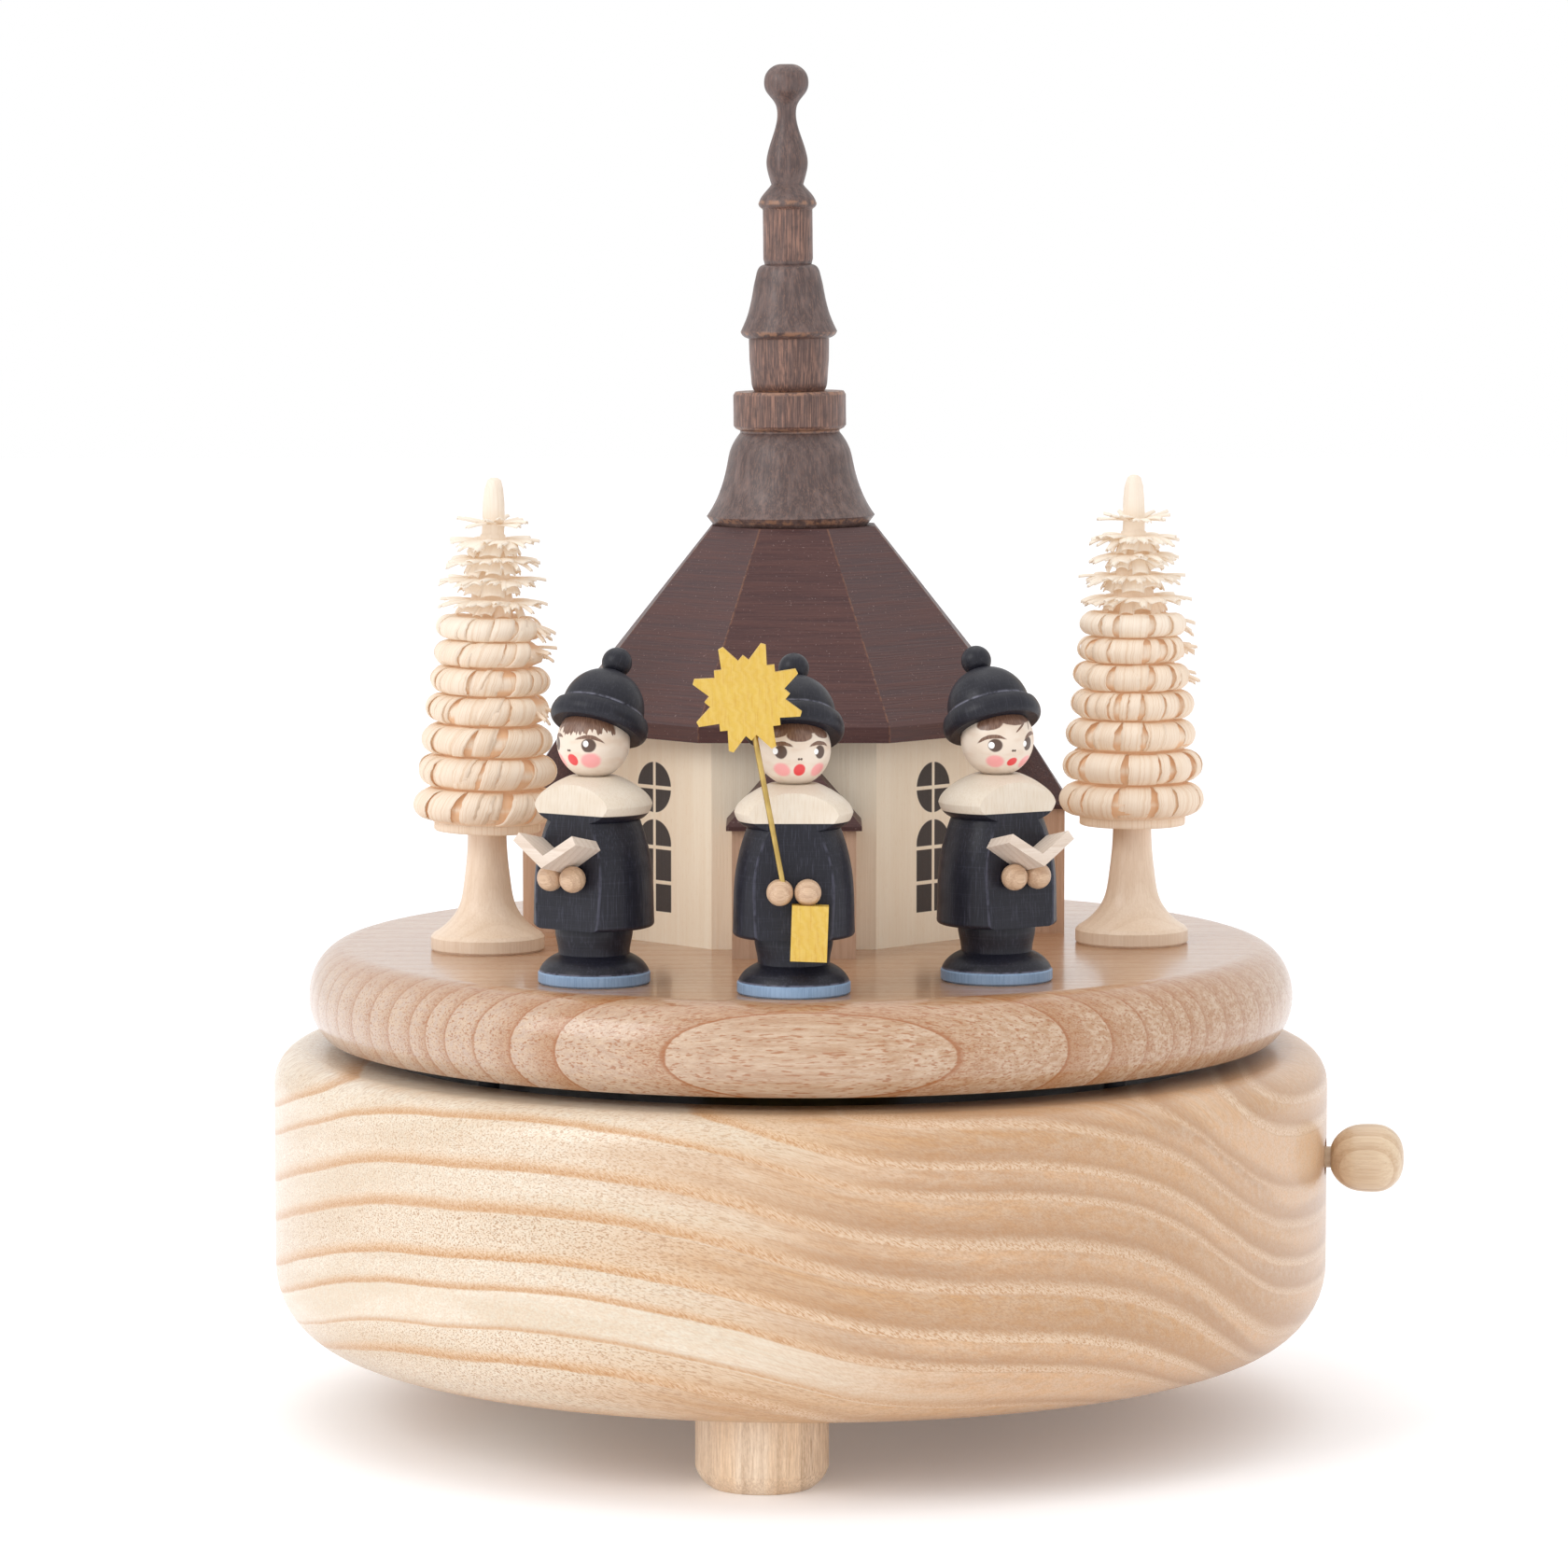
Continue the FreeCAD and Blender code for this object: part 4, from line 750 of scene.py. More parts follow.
@dataclass(frozen=True, kw_only=True)
class WallFinish(PaleFinish):
    """Church wall with dark windows on its diagonal sides and its back: a round one over an arched one."""

    pane: str = "1f161b"
    pane_light: str = "382b32"
    half_width: float = 3.39
    round_middle: float = 22.2
    round_half_height: float = 3.6
    arch_low: float = 4.5
    arch_spring: float = 14.2
    bars: tuple[float, ...] = (8.7, 13.65)
    bar_half: float = 0.26
    blur: float = 0.06

    def paint(self, bench: NodeBench, spot: Signal) -> Surface:
        """Panes: an ellipse and a rectangle under a half round, less the bars, on every second side.

        Args:
            bench: The material's bench.
            spot: Position in millimetres about the church's axis, laid down with the fibre along X.

        Returns:
            The surface.
        """
        colour, streaks = self.grain(bench, spot)
        up, y, x = bench.split(spot)
        across, _, side = bench.effect(Effect.FACETS, bench.join(x * -1.0, y))
        odd = bench.calc("PINGPONG", side, 1.0)
        back = bench.within(side, 1.5, 2.5, 0.1)
        blur = self.blur
        wide = across / self.half_width
        tall = (up - self.round_middle) / self.round_half_height
        rise = bench.most(up - self.arch_spring, 0.0) / self.half_width
        rounded, arched = (
            bench.fade(bench.reach(wide, height), 1.0 - blur / 3, 1.0 + blur / 3) for height in (tall, rise))
        panes = bench.most(rounded, arched * bench.smooth(up, self.arch_low - blur, self.arch_low + blur))
        for away in (across, *(up - height for height in (*self.bars, self.round_middle))):
            away = bench.calc("ABSOLUTE", away)
            panes = panes * bench.smooth(away, self.bar_half - blur, self.bar_half + blur)
        panes = panes * bench.most(odd, back)
        dark = bench.mix(bench.clouds(spot, 0.22, 2.0, 0.56, 0.72) * 0.5, self.pane, self.pane_light)
        return Surface(bench.mix(panes * 0.96, colour, dark), None, streaks - panes)


@dataclass(frozen=True, kw_only=True)
class RoofFinish(Finish):
    """Dark stained roof: fine level grain on each side, painted reflection on every second side, and worn
    hips.
    """

    stain: str = "3f2323"
    grey: str = "473435"
    # greyer colour of every second side: a painted reflection
    light: str = "5c3b35"
    worn: str = "855a40"
    dust: str = "a58c88"
    hip_width: float = 0.15

    def paint(self, bench: NodeBench, spot: Signal) -> Surface:
        """Folded eightfold: streaks run across each side, and wear lies where two sides meet.

        Args:
            bench: The material's bench.
            spot: Position in millimetres about the church's axis.

        Returns:
            The surface.
        """
        _, _, z = bench.split(spot)
        across, out, side = bench.effect(Effect.FACETS, spot)
        laid = bench.join(across + side * 40.0, out, z)
        streaks, sheen = bench.effect(Effect.FIBRE, laid, Length=9.0, Width=0.3)
        odd = bench.calc("PINGPONG", side, 1.0)
        hip = out * math.tan(math.pi / 8) - bench.calc("ABSOLUTE", across)
        rubbed = bench.fade(hip, self.hip_width * 0.4, self.hip_width * 1.6)
        colour = bench.layers(
            self.stain,
            # painted reflection: every second side, the diagonal ones, is greyer; the random tone of each
            # side is the wood's own
            (odd * 0.75 + bench.chance(side) * 0.15, self.grey),
            (streaks * 0.45 + sheen * 0.2, self.light),
            (bench.pores(laid, 0.9, 0.2, 0.5) * 0.3, self.light),
            (bench.clouds(spot, 0.3, 1.0, 0.7, 0.76) * 0.35, self.dust),
            (rubbed * bench.clouds(spot, 0.9, 3.0, 0.35, 0.6) * 0.45, self.worn))
        return Surface(colour, bench.vary(sheen, 0.48, 0.06), streaks)


@dataclass(frozen=True, kw_only=True)
class SpireFinish(Finish):
    """Dark stained turned wood: reddish streaks on the straight drums, greyer bells and rubbed rims."""

    stain: str = "573d36"
    grey: str = "4b3a38"
    streak: str = "a07663"
    faded: str = "86706a"
    worn: str = "a0755a"
    dark: str = "40302d"
    drums: Pairs = ()
    rims: Pairs = ()

    def paint(self, bench: NodeBench, spot: Signal) -> Surface:
        """Upright streaks, stronger within the drums' heights, and wear about the rims' heights.

        Args:
            bench: The material's bench.
            spot: Position in millimetres about the spire's axis.

        Returns:
            The surface.
        """
        _, _, z = bench.split(spot)
        lines, patches = bench.effect(Effect.TOOLING, spot, Length=5.0, Width=0.22)
        drum = bench.most(*(bench.within(z, low, high, 0.1) for low, high in self.drums))
        worn = bench.most(*(bench.within(z, height - half, height + half, 0.2) for height, half in self.rims))
        mottle = bench.clouds(spot, (0.7, 0.7, 1.4), 3.0, 0.5, 0.68)
        broad = bench.clouds(spot, (0.9, 0.9, 12.0), 2.0, 0.4, 0.66)
        colour = bench.layers(
            self.grey,
            (drum, self.stain),
            (broad * (0.36 - drum * 0.18), self.faded),
            (bench.smooth(lines, 0.43, 0.66) * (drum * 0.55 + 0.24), self.streak),
            (patches * 0.25 + mottle * (drum * 0.15 + 0.2), self.dark),
            (worn * bench.clouds(spot, 0.8, 3.0, 0.4, 0.62) * 0.7, self.worn),
            (bench.clouds(spot, (0.3, 0.3, 0.45), 1.0, 0.66, 0.76) * 0.25, self.worn))
        return Surface(colour, bench.vary(patches, 0.5, 0.08), lines)


@dataclass(frozen=True, kw_only=True)
class PaintFinish(Finish):
    """Coat of satin paint on turned wood, a little grain through, with rubbed edges and a painted highlight.
    """

    shade: str = "14141f"
    # pale colour of wear along the tool lines, and of wear with a painted highlight on edges and rims
    rubbed: str = "5a5a6c"
    wear: float = 1.0
    second: str = "dfd3c3"
    second_dark: str = "cfbba2"
    second_from: float = 1000.0
    second_to: float = 2000.0
    rim_lines: tuple[float, ...] = ()
    flat_distance: float = 0.0
    flat_lean: float = 0.0
    flat_foot: float = 0.0
    flat_top: float = 20.0
    profile: Pairs = ()
    edge: float = 0.1

    def rubbed_edges(self, bench: NodeBench, spot: Signal) -> Signal:
        """Wear and a painted highlight where a planed flat meets the round side, and at the rims' heights.

        Args:
            bench: The material's bench.
            spot: Position in millimetres about the figure's axis.

        Returns:
            The wear and painted highlight from none to one.
        """
        x, y, z = bench.split(spot)
        edge = self.edge
        # the pale line on edges and rims is wear and a painted highlight of light catching the edge
        worn = bench.most(z * 0.0, *(bench.within(z, rim - edge, rim + edge, edge) for rim in self.rim_lines))
        if self.profile:
            plane = (z - self.flat_foot) * math.tan(math.radians(self.flat_lean)) - self.flat_distance
            near_flat = bench.fade(y - plane, edge * 0.6, edge * 1.6)
            inside = bench.curve(z, self.profile) - bench.reach(x, y)
            near_round = bench.fade(inside, edge * 0.8, edge * 2.0)
            worn = bench.most(worn, near_flat * near_round * 0.35)
            worn = worn * bench.fade(z, self.flat_top, self.flat_top + 1.2)
        return worn * bench.clouds(spot, 1.2, 2.0, 0.3, 0.6)

    def paint(self, bench: NodeBench, spot: Signal) -> Surface:
        """Paint, a second colour within a range of heights, and rubbed edges with a painted highlight.

        Args:
            bench: The material's bench.
            spot: Position in millimetres about the figure's axis.

        Returns:
            The surface.
        """
        x, y, z = bench.split(spot)
        lines, patches = bench.effect(Effect.TOOLING, spot, Length=4.0, Width=0.2)
        turned = bench.noise(bench.join(x * 0.12, y * 0.12, z / 0.17))
        worn = bench.smooth(lines, 0.48, 0.75) * 0.22 + bench.smooth(turned, 0.52, 0.75) * 0.08
        # the rubbed colour is wear on the tool lines, and wear with a painted highlight on the edges
        first = bench.layers(self.shade, (worn * self.wear, self.rubbed),
                             (self.rubbed_edges(bench, spot), self.rubbed))
        second = bench.mix(patches * 0.2 + bench.smooth(lines, 0.4, 0.7) * 0.4, self.second, self.second_dark)
        colour = bench.mix(bench.within(z, self.second_from, self.second_to, 0.05), first, second)
        return Surface(colour, bench.vary(patches, self.roughness, 0.06), lines)


class Brush(Enum):
    """The brush marks on the faces: each one's colour, blur and strength."""

    LOCK = ("684838", 0.08, 1.0)
    BROW = ("684838", 0.12, 1.0)
    EYE = ("523a2c", 0.12, 1.0)
    GLINT = ("fdfdfd", 0.12, 1.0)
    MOUTH = ("dd3a3c", 0.12, 1.0)
    CHEEK = ("f08f92", 0.22, 0.8)


@dataclass(frozen=True)
class BrushMark:
    """One mark on a face: its brush, its middle in degrees, its half sizes in millimetres, turn and bend."""

    brush: Brush
    azimuth: float
    elevation: float
    half_width: float
    half_height: float
    turn: float = 0.0
    bend: float = 0.0


@dataclass(frozen=True, kw_only=True)
class FaceFinish(Finish):
    """Cream painted ball with a doll's face: hair, cheeks, eyes, brows, nose and mouth as brush marks."""

    skin: str = "e3d3c2"
    skin_dark: str = "d0b094"
    hair_light: str = "9a7862"
    radius: float = 4.95
    hair_line: float = 15.0
    hair_jag: float = 6.0
    hair_strands: float = 11.0
    hair_reach: float = 80.0
    marks: tuple[BrushMark, ...] = ()

    def paint(self, bench: NodeBench, spot: Signal) -> Surface:
        """Marks over the skin in order, and a ragged hair line: elevation above a noise over the azimuth.

        Args:
            bench: The material's bench.
            spot: Position in millimetres about the head's middle, with the face towards -Y.

        Returns:
            The surface.
        """
        x, y, z = bench.split(spot)
        tint = bench.noise(spot, (3.0, 3.0, 1.2), 3.0)
        azimuth = bench.calc("DEGREES", bench.calc("ARCTAN2", x, y * -1.0))
        elevation = bench.calc("DEGREES", bench.calc("ARCSINE", z / self.radius))
        strands = bench.noise(bench.join(azimuth / self.hair_strands, elevation / 60.0, 3.0))
        line = self.hair_line + (strands - 0.5) * 4.0 * self.hair_jag
        hair = bench.smooth(elevation - line, -0.8, 0.8)
        hair = hair * bench.fade(bench.calc("ABSOLUTE", azimuth), self.hair_reach - 8, self.hair_reach)
        strokes = bench.clouds(bench.join(azimuth / 2.5, elevation / 14.0), 1.0, 2.0, 0.35, 0.7)
        hair_shade = Brush.LOCK.value[0]
        brown = bench.mix(strokes * 0.5, hair_shade, self.hair_light)
        colour = bench.layers(self.skin, (bench.smooth(tint, 0.4, 0.75) * 0.4, self.skin_dark), (hair, brown))
        waver = bench.vector("SUBTRACT", {0: bench.noise(spot, 0.8, 1.0), 1: (0.5, 0.5, 0.5)})
        place = bench.vector("ADD", {0: spot, 1: bench.vector("SCALE", {0: waver, "Scale": 0.12})})
        for mark in self.marks:
            shade, blur, strength = mark.brush.value
            (mask,) = bench.effect(
                Effect.SPOT, place, Radius=self.radius, Azimuth=mark.azimuth, Elevation=mark.elevation,
                Turn=mark.turn, Wide=mark.half_width, Tall=mark.half_height, Bend=mark.bend, Blur=blur)
            colour = bench.mix(mask * strength, colour, brown if shade == hair_shade else shade)
        return Surface(colour, bench.vary(tint, self.roughness, 0.08), tint)


@dataclass(frozen=True, kw_only=True)
class StarFinish(Finish):
    """Yellow stain over curly grain: ripples cross the upright fibre."""

    ground: str = "d3af48"
    dark: str = "b97e18"
    pale: str = "e0c478"

    def paint(self, bench: NodeBench, spot: Signal) -> Surface:
        """Ripples: a sine across the piece with a phase that wanders along it, thinned by upright streaks.

        Args:
            bench: The material's bench.
            spot: Position in millimetres.

        Returns:
            The surface.
        """
        x, _, z = bench.split(spot)
        phase = bench.noise(spot, (2.4, 2.4, 1.1))
        ripple = bench.calc("SINE", x * 5.0 + z * 1.4 + phase * 13.0) * 0.5 + 0.5
        lines, patches = bench.effect(Effect.TOOLING, spot, Length=3.0, Width=0.2)
        colour = bench.layers(self.ground, (ripple * 0.28, self.pale),
                              (bench.smooth(lines, 0.5, 0.75) * 0.4 + patches * 0.12, self.dark))
        return Surface(colour, bench.vary(ripple, 0.5, 0.08), ripple)


@dataclass(frozen=True, kw_only=True)
class MetalFinish(Finish):
    """Machined metal: hair lines from the tool, a breath of tarnish and a roughness that follows them."""

    metallic: float = 1.0
    ground: str = "d8d8d8"
    tarnish: str = "a8a8a8"
    grain: float = 0.08
    grain_length: float = 6.0

    def paint(self, bench: NodeBench, spot: Signal) -> Surface:
        """Hair lines along Z and patches of tarnish.

        Args:
            bench: The material's bench.
            spot: Position in millimetres.

        Returns:
            The surface.
        """
        lines, patches = bench.effect(Effect.TOOLING, spot, Length=self.grain_length, Width=self.grain)
        share = patches * 0.5 + bench.smooth(lines, 0.4, 0.7) * 0.25
        colour = bench.mix(share, self.ground, self.tarnish)
        return Surface(colour, bench.vary(lines, self.roughness, 0.12), lines)


@dataclass(frozen=True, kw_only=True)
class MouldedFinish(Finish):
    """Moulded plastic or rubber: a fine even grain with a trace of dust."""

    ground: str = "1c1c1d"
    dust: str = "4b4a48"
    grain: float = 0.35

    def paint(self, bench: NodeBench, spot: Signal) -> Surface:
        """Fine speckle in colour, roughness and height.

        Args:
            bench: The material's bench.
            spot: Position in millimetres.

        Returns:
            The surface.
        """
        speckle = bench.noise(spot, self.grain)
        patches = bench.clouds(spot, 9.0, 3.0, 0.45, 0.8)
        colour = bench.mix(patches * 0.35 + bench.smooth(speckle, 0.6, 0.8) * 0.15, self.ground, self.dust)
        return Surface(colour, bench.vary(patches, self.roughness, 0.1), speckle)


@dataclass(frozen=True, kw_only=True)
class ShavingFinish(Finish):
    """Thin pale shavings: hair lines along each one, a painted warm shade deep inside the crown, and a greyer
    top.
    """

    ground: str = "f3dfc2"
    # colour of the painted warm shade deep in the crown
    warm: str = "c4946a"
    top: str = "d9d7ce"
    streak: str = "b4936f"
    low_radius: float = 10.2
    high_radius: float = 5.25
    low: float = 3.0
    high: float = 43.0
    # depths under the cone at which the painted warm shade starts and is full
    shallow: float = 0.9
    deep: float = 3.0

    def paint(self, bench: NodeBench, spot: Signal) -> Surface:
        """Painted shade: a warm colour whose share grows with how deep a point lies under the cone of the
        tiers' edges.

        Args:
            bench: The material's bench.
            spot: Position in millimetres about the tree's axis.

        Returns:
            The surface.
        """
        x, y, z = bench.split(spot)
        share = (z - self.low) / (self.high - self.low)
        edge = share * (self.high_radius - self.low_radius) + self.low_radius
        # painted shade: a darker warm colour laid deep under the tiers' edges
        recess_shade = bench.smooth(edge - bench.reach(x, y), self.shallow, self.deep)
        lower = bench.fade(z, self.high - 20.0, self.high - 8.0, 0.1)
        along, across, _ = bench.split(bench.add("UVMap").outputs[0])
        hair = bench.noise(bench.join(along / 22.0, across / 0.2))
        broad = bench.clouds(bench.join(along / 40.0, across / 1.1, 5.0), 1.0, 1.0, 0.5, 0.8)
        colour = bench.layers(
            self.top,
            (lower, self.ground),
            (bench.smooth(hair, 0.46, 0.72) * (lower * 0.4 + 0.15), self.streak),
            (broad * (lower * 0.25 + 0.1), self.streak),
            (recess_shade * lower * bench.smooth(z, 1.0, 2.2) * 0.8, self.warm))
        return Surface(colour, None, hair)


@dataclass(frozen=True, kw_only=True)
class FloorFinish(Finish):
    """Plain pale board with a barely seen mottle."""

    ground: str = "fdfdff"
    mottle: str = "fbfbfd"

    def paint(self, bench: NodeBench, spot: Signal) -> Surface:
        """Broad soft mottle."""
        return Surface(bench.mix(bench.noise(spot, 120.0), self.ground, self.mottle))


def grid_faces(patches: int, along: int, across: int) -> np.ndarray:
    """Corner numbers of the quads of several grids whose points follow one another.

    Args:
        patches: Number of grids.
        along: Points along each grid.
        across: Points across each grid.

    Returns:
        An array of four corner numbers for each quad.
    """
    first = np.arange(along - 1)[:, None] * across + np.arange(across - 1)[None, :]
    quad = np.stack([first, first + across, first + across + 1, first + 1], axis=-1).reshape(-1, 4)
    return (np.arange(patches)[:, None, None] * along * across + quad[None]).reshape(-1, 4)


def turned_grid(profile: np.ndarray, sides: int, ripple: float) -> tuple[np.ndarray, list]:
    """Turn a profile about an upright axis: each row of it becomes a ring, and its two ends become poles.

    Args:
        profile: Radius and height of each point in millimetres, from the lower pole to the upper one.
        sides: Points around each ring.
        ripple: How far the rings' radius waves in millimetres.

    Returns:
        The points in millimetres, and the corner numbers of each face.
    """
    angle = np.linspace(0, 2 * np.pi, sides, endpoint=False)
    radius, height = profile[1:-1, 0:1], profile[1:-1, 1:2]
    radius = radius + ripple * np.sin(9 * angle + height) * np.sin(4 * angle + 2 * height)
    rings = np.stack([radius * np.cos(angle), radius * np.sin(angle), height + 0 * angle], axis=-1)
    poles = [[0, 0, profile[0, 1]], [0, 0, profile[-1, 1]]]
    around = np.arange(sides)
    following = (around + 1) % sides
    row = np.arange(len(radius) - 1)[:, None] * sides
    quads = np.stack([row + around, row + following, row + sides + following, row + sides + around], axis=-1)
    pole = radius.size
    last = pole - sides
    bottom = np.stack([np.full(sides, pole), following, around], axis=-1)
    top = np.stack([np.full(sides, pole + 1), last + around, last + following], axis=-1)
    faces = [*quads.reshape(-1, 4).tolist(), *bottom.tolist(), *top.tolist()]
    return np.concatenate([rings.reshape(-1, 3), poles]), faces


def new_piece(name: str, points: np.ndarray, faces: list, smooth: bool = True) -> bpy.types.Object:
    """Put points and faces into a mesh object that sits at the origin.

    Args:
        name: Name of the piece.
        points: Positions in metres, one row each.
        faces: Corner numbers of each face.
        smooth: Whether the faces shade smoothly.

    Returns:
        The object.
    """
    mesh = bpy.data.meshes.new(name)
    mesh.from_pydata(points.tolist(), [], faces)
    mesh.polygons.foreach_set("use_smooth", np.full(len(mesh.polygons), smooth))
    mesh.update()
    made = bpy.data.objects.new(name, mesh)
    bpy.context.scene.collection.objects.link(made)
    return made


def unwrap(piece: bpy.types.Object, places: np.ndarray) -> None:
    """Give a piece a UV map.

    Args:
        piece: The object.
        places: Place on the map of each point of the mesh, one row each.
    """
    corner = np.zeros(len(piece.data.loops), int)
    piece.data.loops.foreach_get("vertex_index", corner)
    piece.data.uv_layers.new(name="UVMap").data.foreach_set("uv", places[corner].ravel())


class SubAssembly(ABC):
    """A group of pieces that is dressed and fitted together."""

    @abstractmethod
    def build(self) -> None:
        """Build the new pieces and dress the CAD nodes."""


@dataclass
class Housing(SubAssembly):
    """Ash housing with its feet, the stop knob and the black dust cover."""

    ring_sweep: Pairs = (
        (-75.0, 10.5), (-72.0, 7.7), (-66.0, 4.2), (-60.0, 1.7), (-54.0, 0.4), (-48.0, -0.1), (-40.0, -0.4),
        (-30.0, 0.0), (-20.0, 1.1), (-10.0, 2.8), (0.0, 5.4), (10.0, 7.8), (20.0, 8.9), (30.0, 9.6),
        (40.0, 11.3), (50.0, 15.3), (58.0, 21.7), (63.0, 26.2), (67.0, 28.4), (71.0, 29.4), (75.0, 29.8))
    foot_spacing: float = 4.4
    knob_turn: float = -8.5

    def build(self) -> None:
        """Dress the housing, its feet, the stop knob and the cover under it."""
        floor = replace(Place.under("turntable"), z=0.0)
        knob = Place.under("stop_knob", turn=self.knob_turn)
        dress(AshFinish(name="ash_housing", place=floor, sweep=self.ring_sweep, coat=0.45,
                        coat_roughness=0.18, relief=0.02), "housing")
        # The feet's ash colours are set lighter, to make up for the shade under the box: painted light.
        dress(AshFinish(name="ash_feet", place=replace(floor, tilt=90.0), spacing=self.foot_spacing,
                        wander=0.5, pale="f0d2b0", white="f9e8d2", band="bd9a78", line="957353", share=0.3,
                        streak_share=0.6, mark_share=0.35, slant=0.0, honey_from=60.0, honey_to=120.0,
                        relief=0.04), "feet")
        dress(PaleFinish(name="knob_wood", place=knob, ground="dfc7a8", dark="b58e68", ring_spacing=2.6,
                         ring_share=0.35, roughness=0.38, coat=0.3), "stop_knob", "stop_rod")
        # The cover's purple-brown ground is painted shade: it stands in for the warm shade of the gap under
        # the disc; the cover itself is black.
        dress(MouldedFinish(name="gloss_cover", place=floor, ground="4c3438", roughness=0.16, relief=0.01),
              "dust_cover")


@dataclass
class Turntable(SubAssembly):
    """Lacquered disc that everything above stands on."""

    ring_counts: Pairs = (
        (-72.0, 0.3), (-67.5, 1.0), (-61.2, 2.0), (-57.3, 3.0), (-53.5, 4.0), (-49.9, 5.0), (-47.1, 6.0),
        (-44.5, 7.0), (-40.5, 8.0), (-36.4, 9.0), (-31.5, 10.0), (-26.5, 11.0), (-21.0, 12.2), (-14.0, 13.6),
        (-6.0, 15.0), (4.0, 17.0), (20.0, 20.0), (40.0, 24.0), (58.0, 27.5), (72.0, 30.5))

    def build(self) -> None:
        """Dress the disc."""
        dress(DiscFinish(name="lacquered_disc", place=Place.under("turntable"), counts=self.ring_counts,
                         roughness=0.3, coat=0.6, coat_roughness=0.14, relief=0.02), "turntable")


@dataclass
class Movement(SubAssembly):
    """Comb movement inside the housing: brass, steel, cast metal, nylon and rubber pieces."""

    brass: tuple[str, ...] = ("spring_drum", "drum_lid", "turntable_flange", "drive_wheel", "cylinder",
                              "great_wheel", "governor_wheel", "knob_bushing")
    steel: tuple[str, ...] = ("movement_screws", "cylinder_brackets", "comb", "comb_screws",
                              "governor_frame", "flange_screws", "spring_arbor", "ratchet_wheel",
                              "winding_click", "cylinder_arbor", "governor_worm")

    def build(self) -> None:
        """Dress each piece of the movement."""
        place = Place.under("bedplate")
        for name, ground, tarnish, roughness, nodes in (
                ("turned_brass", "e0bd6c", "b58a3c", 0.28, self.brass),
                ("ground_steel", "d2d3d4", "9d9ea2", 0.3, self.steel),
                ("blued_steel", "4a5160", "2c3140", 0.3, ("mainspring",)),
                ("blackened_steel", "3a3a3d", "242426", 0.45, ("cover_screws",))):
            dress(MetalFinish(name=name, place=place, ground=ground, tarnish=tarnish, roughness=roughness,
                              relief=0.005), *nodes)
        dress(MetalFinish(name="cast_bedplate", place=place, ground="9b9b9c", tarnish="6e6e70",
                          roughness=0.55, grain=0.6, grain_length=0.6), "bedplate")
        dress(MouldedFinish(name="black_nylon", place=place, ground="232324", roughness=0.6, relief=0.02),
              "fly")
        dress(MouldedFinish(name="brake_rubber", place=place, ground="2a2928", roughness=0.85, grain=0.2,
                            relief=0.03), "brake_pad")


@dataclass
class Church(SubAssembly):
    """Eight sided church: walls with windows, stained roof, turned spire and three porches."""

    wall_height: float = 29.6
    drums: Pairs = ((13.6, 27.0), (38.0, 45.8))
    rims: Pairs = ((0.9, 0.35), (13.8, 0.3), (19.2, 0.3), (27.6, 0.3), (46.4, 0.3))

    def build(self) -> None:
        """Dress the walls, the roof, the spire and the porches."""
        foot = Place.under("church_walls")
        upright = replace(foot, tilt=-90.0)
        dress(WallFinish(name="church_wall", place=upright, ground="f4e7d1", dark="e0c39e", streak_share=0.16,
                         ring_share=0.1, fibre_length=16.0, fibre_width=0.5, roughness=0.62, relief=0.03),
              "church_walls")
        dress(RoofFinish(name="stained_roof", place=replace(foot, z=foot.z + self.wall_height * MM),
                         specular=0.35, relief=0.03), "church_roof", "porch_roofs")
        dress(SpireFinish(name="stained_spire", place=Place.under("spire_bell"), drums=self.drums,
                          rims=self.rims, coat=0.2, coat_roughness=0.35, relief=0.04),
              "spire_bell", "spire_top")
        dress(PaleFinish(name="porch_wood", place=upright, ground="d2b096", dark="ad8468", streak_share=0.4,
                         ring_spacing=3.0, fibre_width=0.4, relief=0.04), "porches")


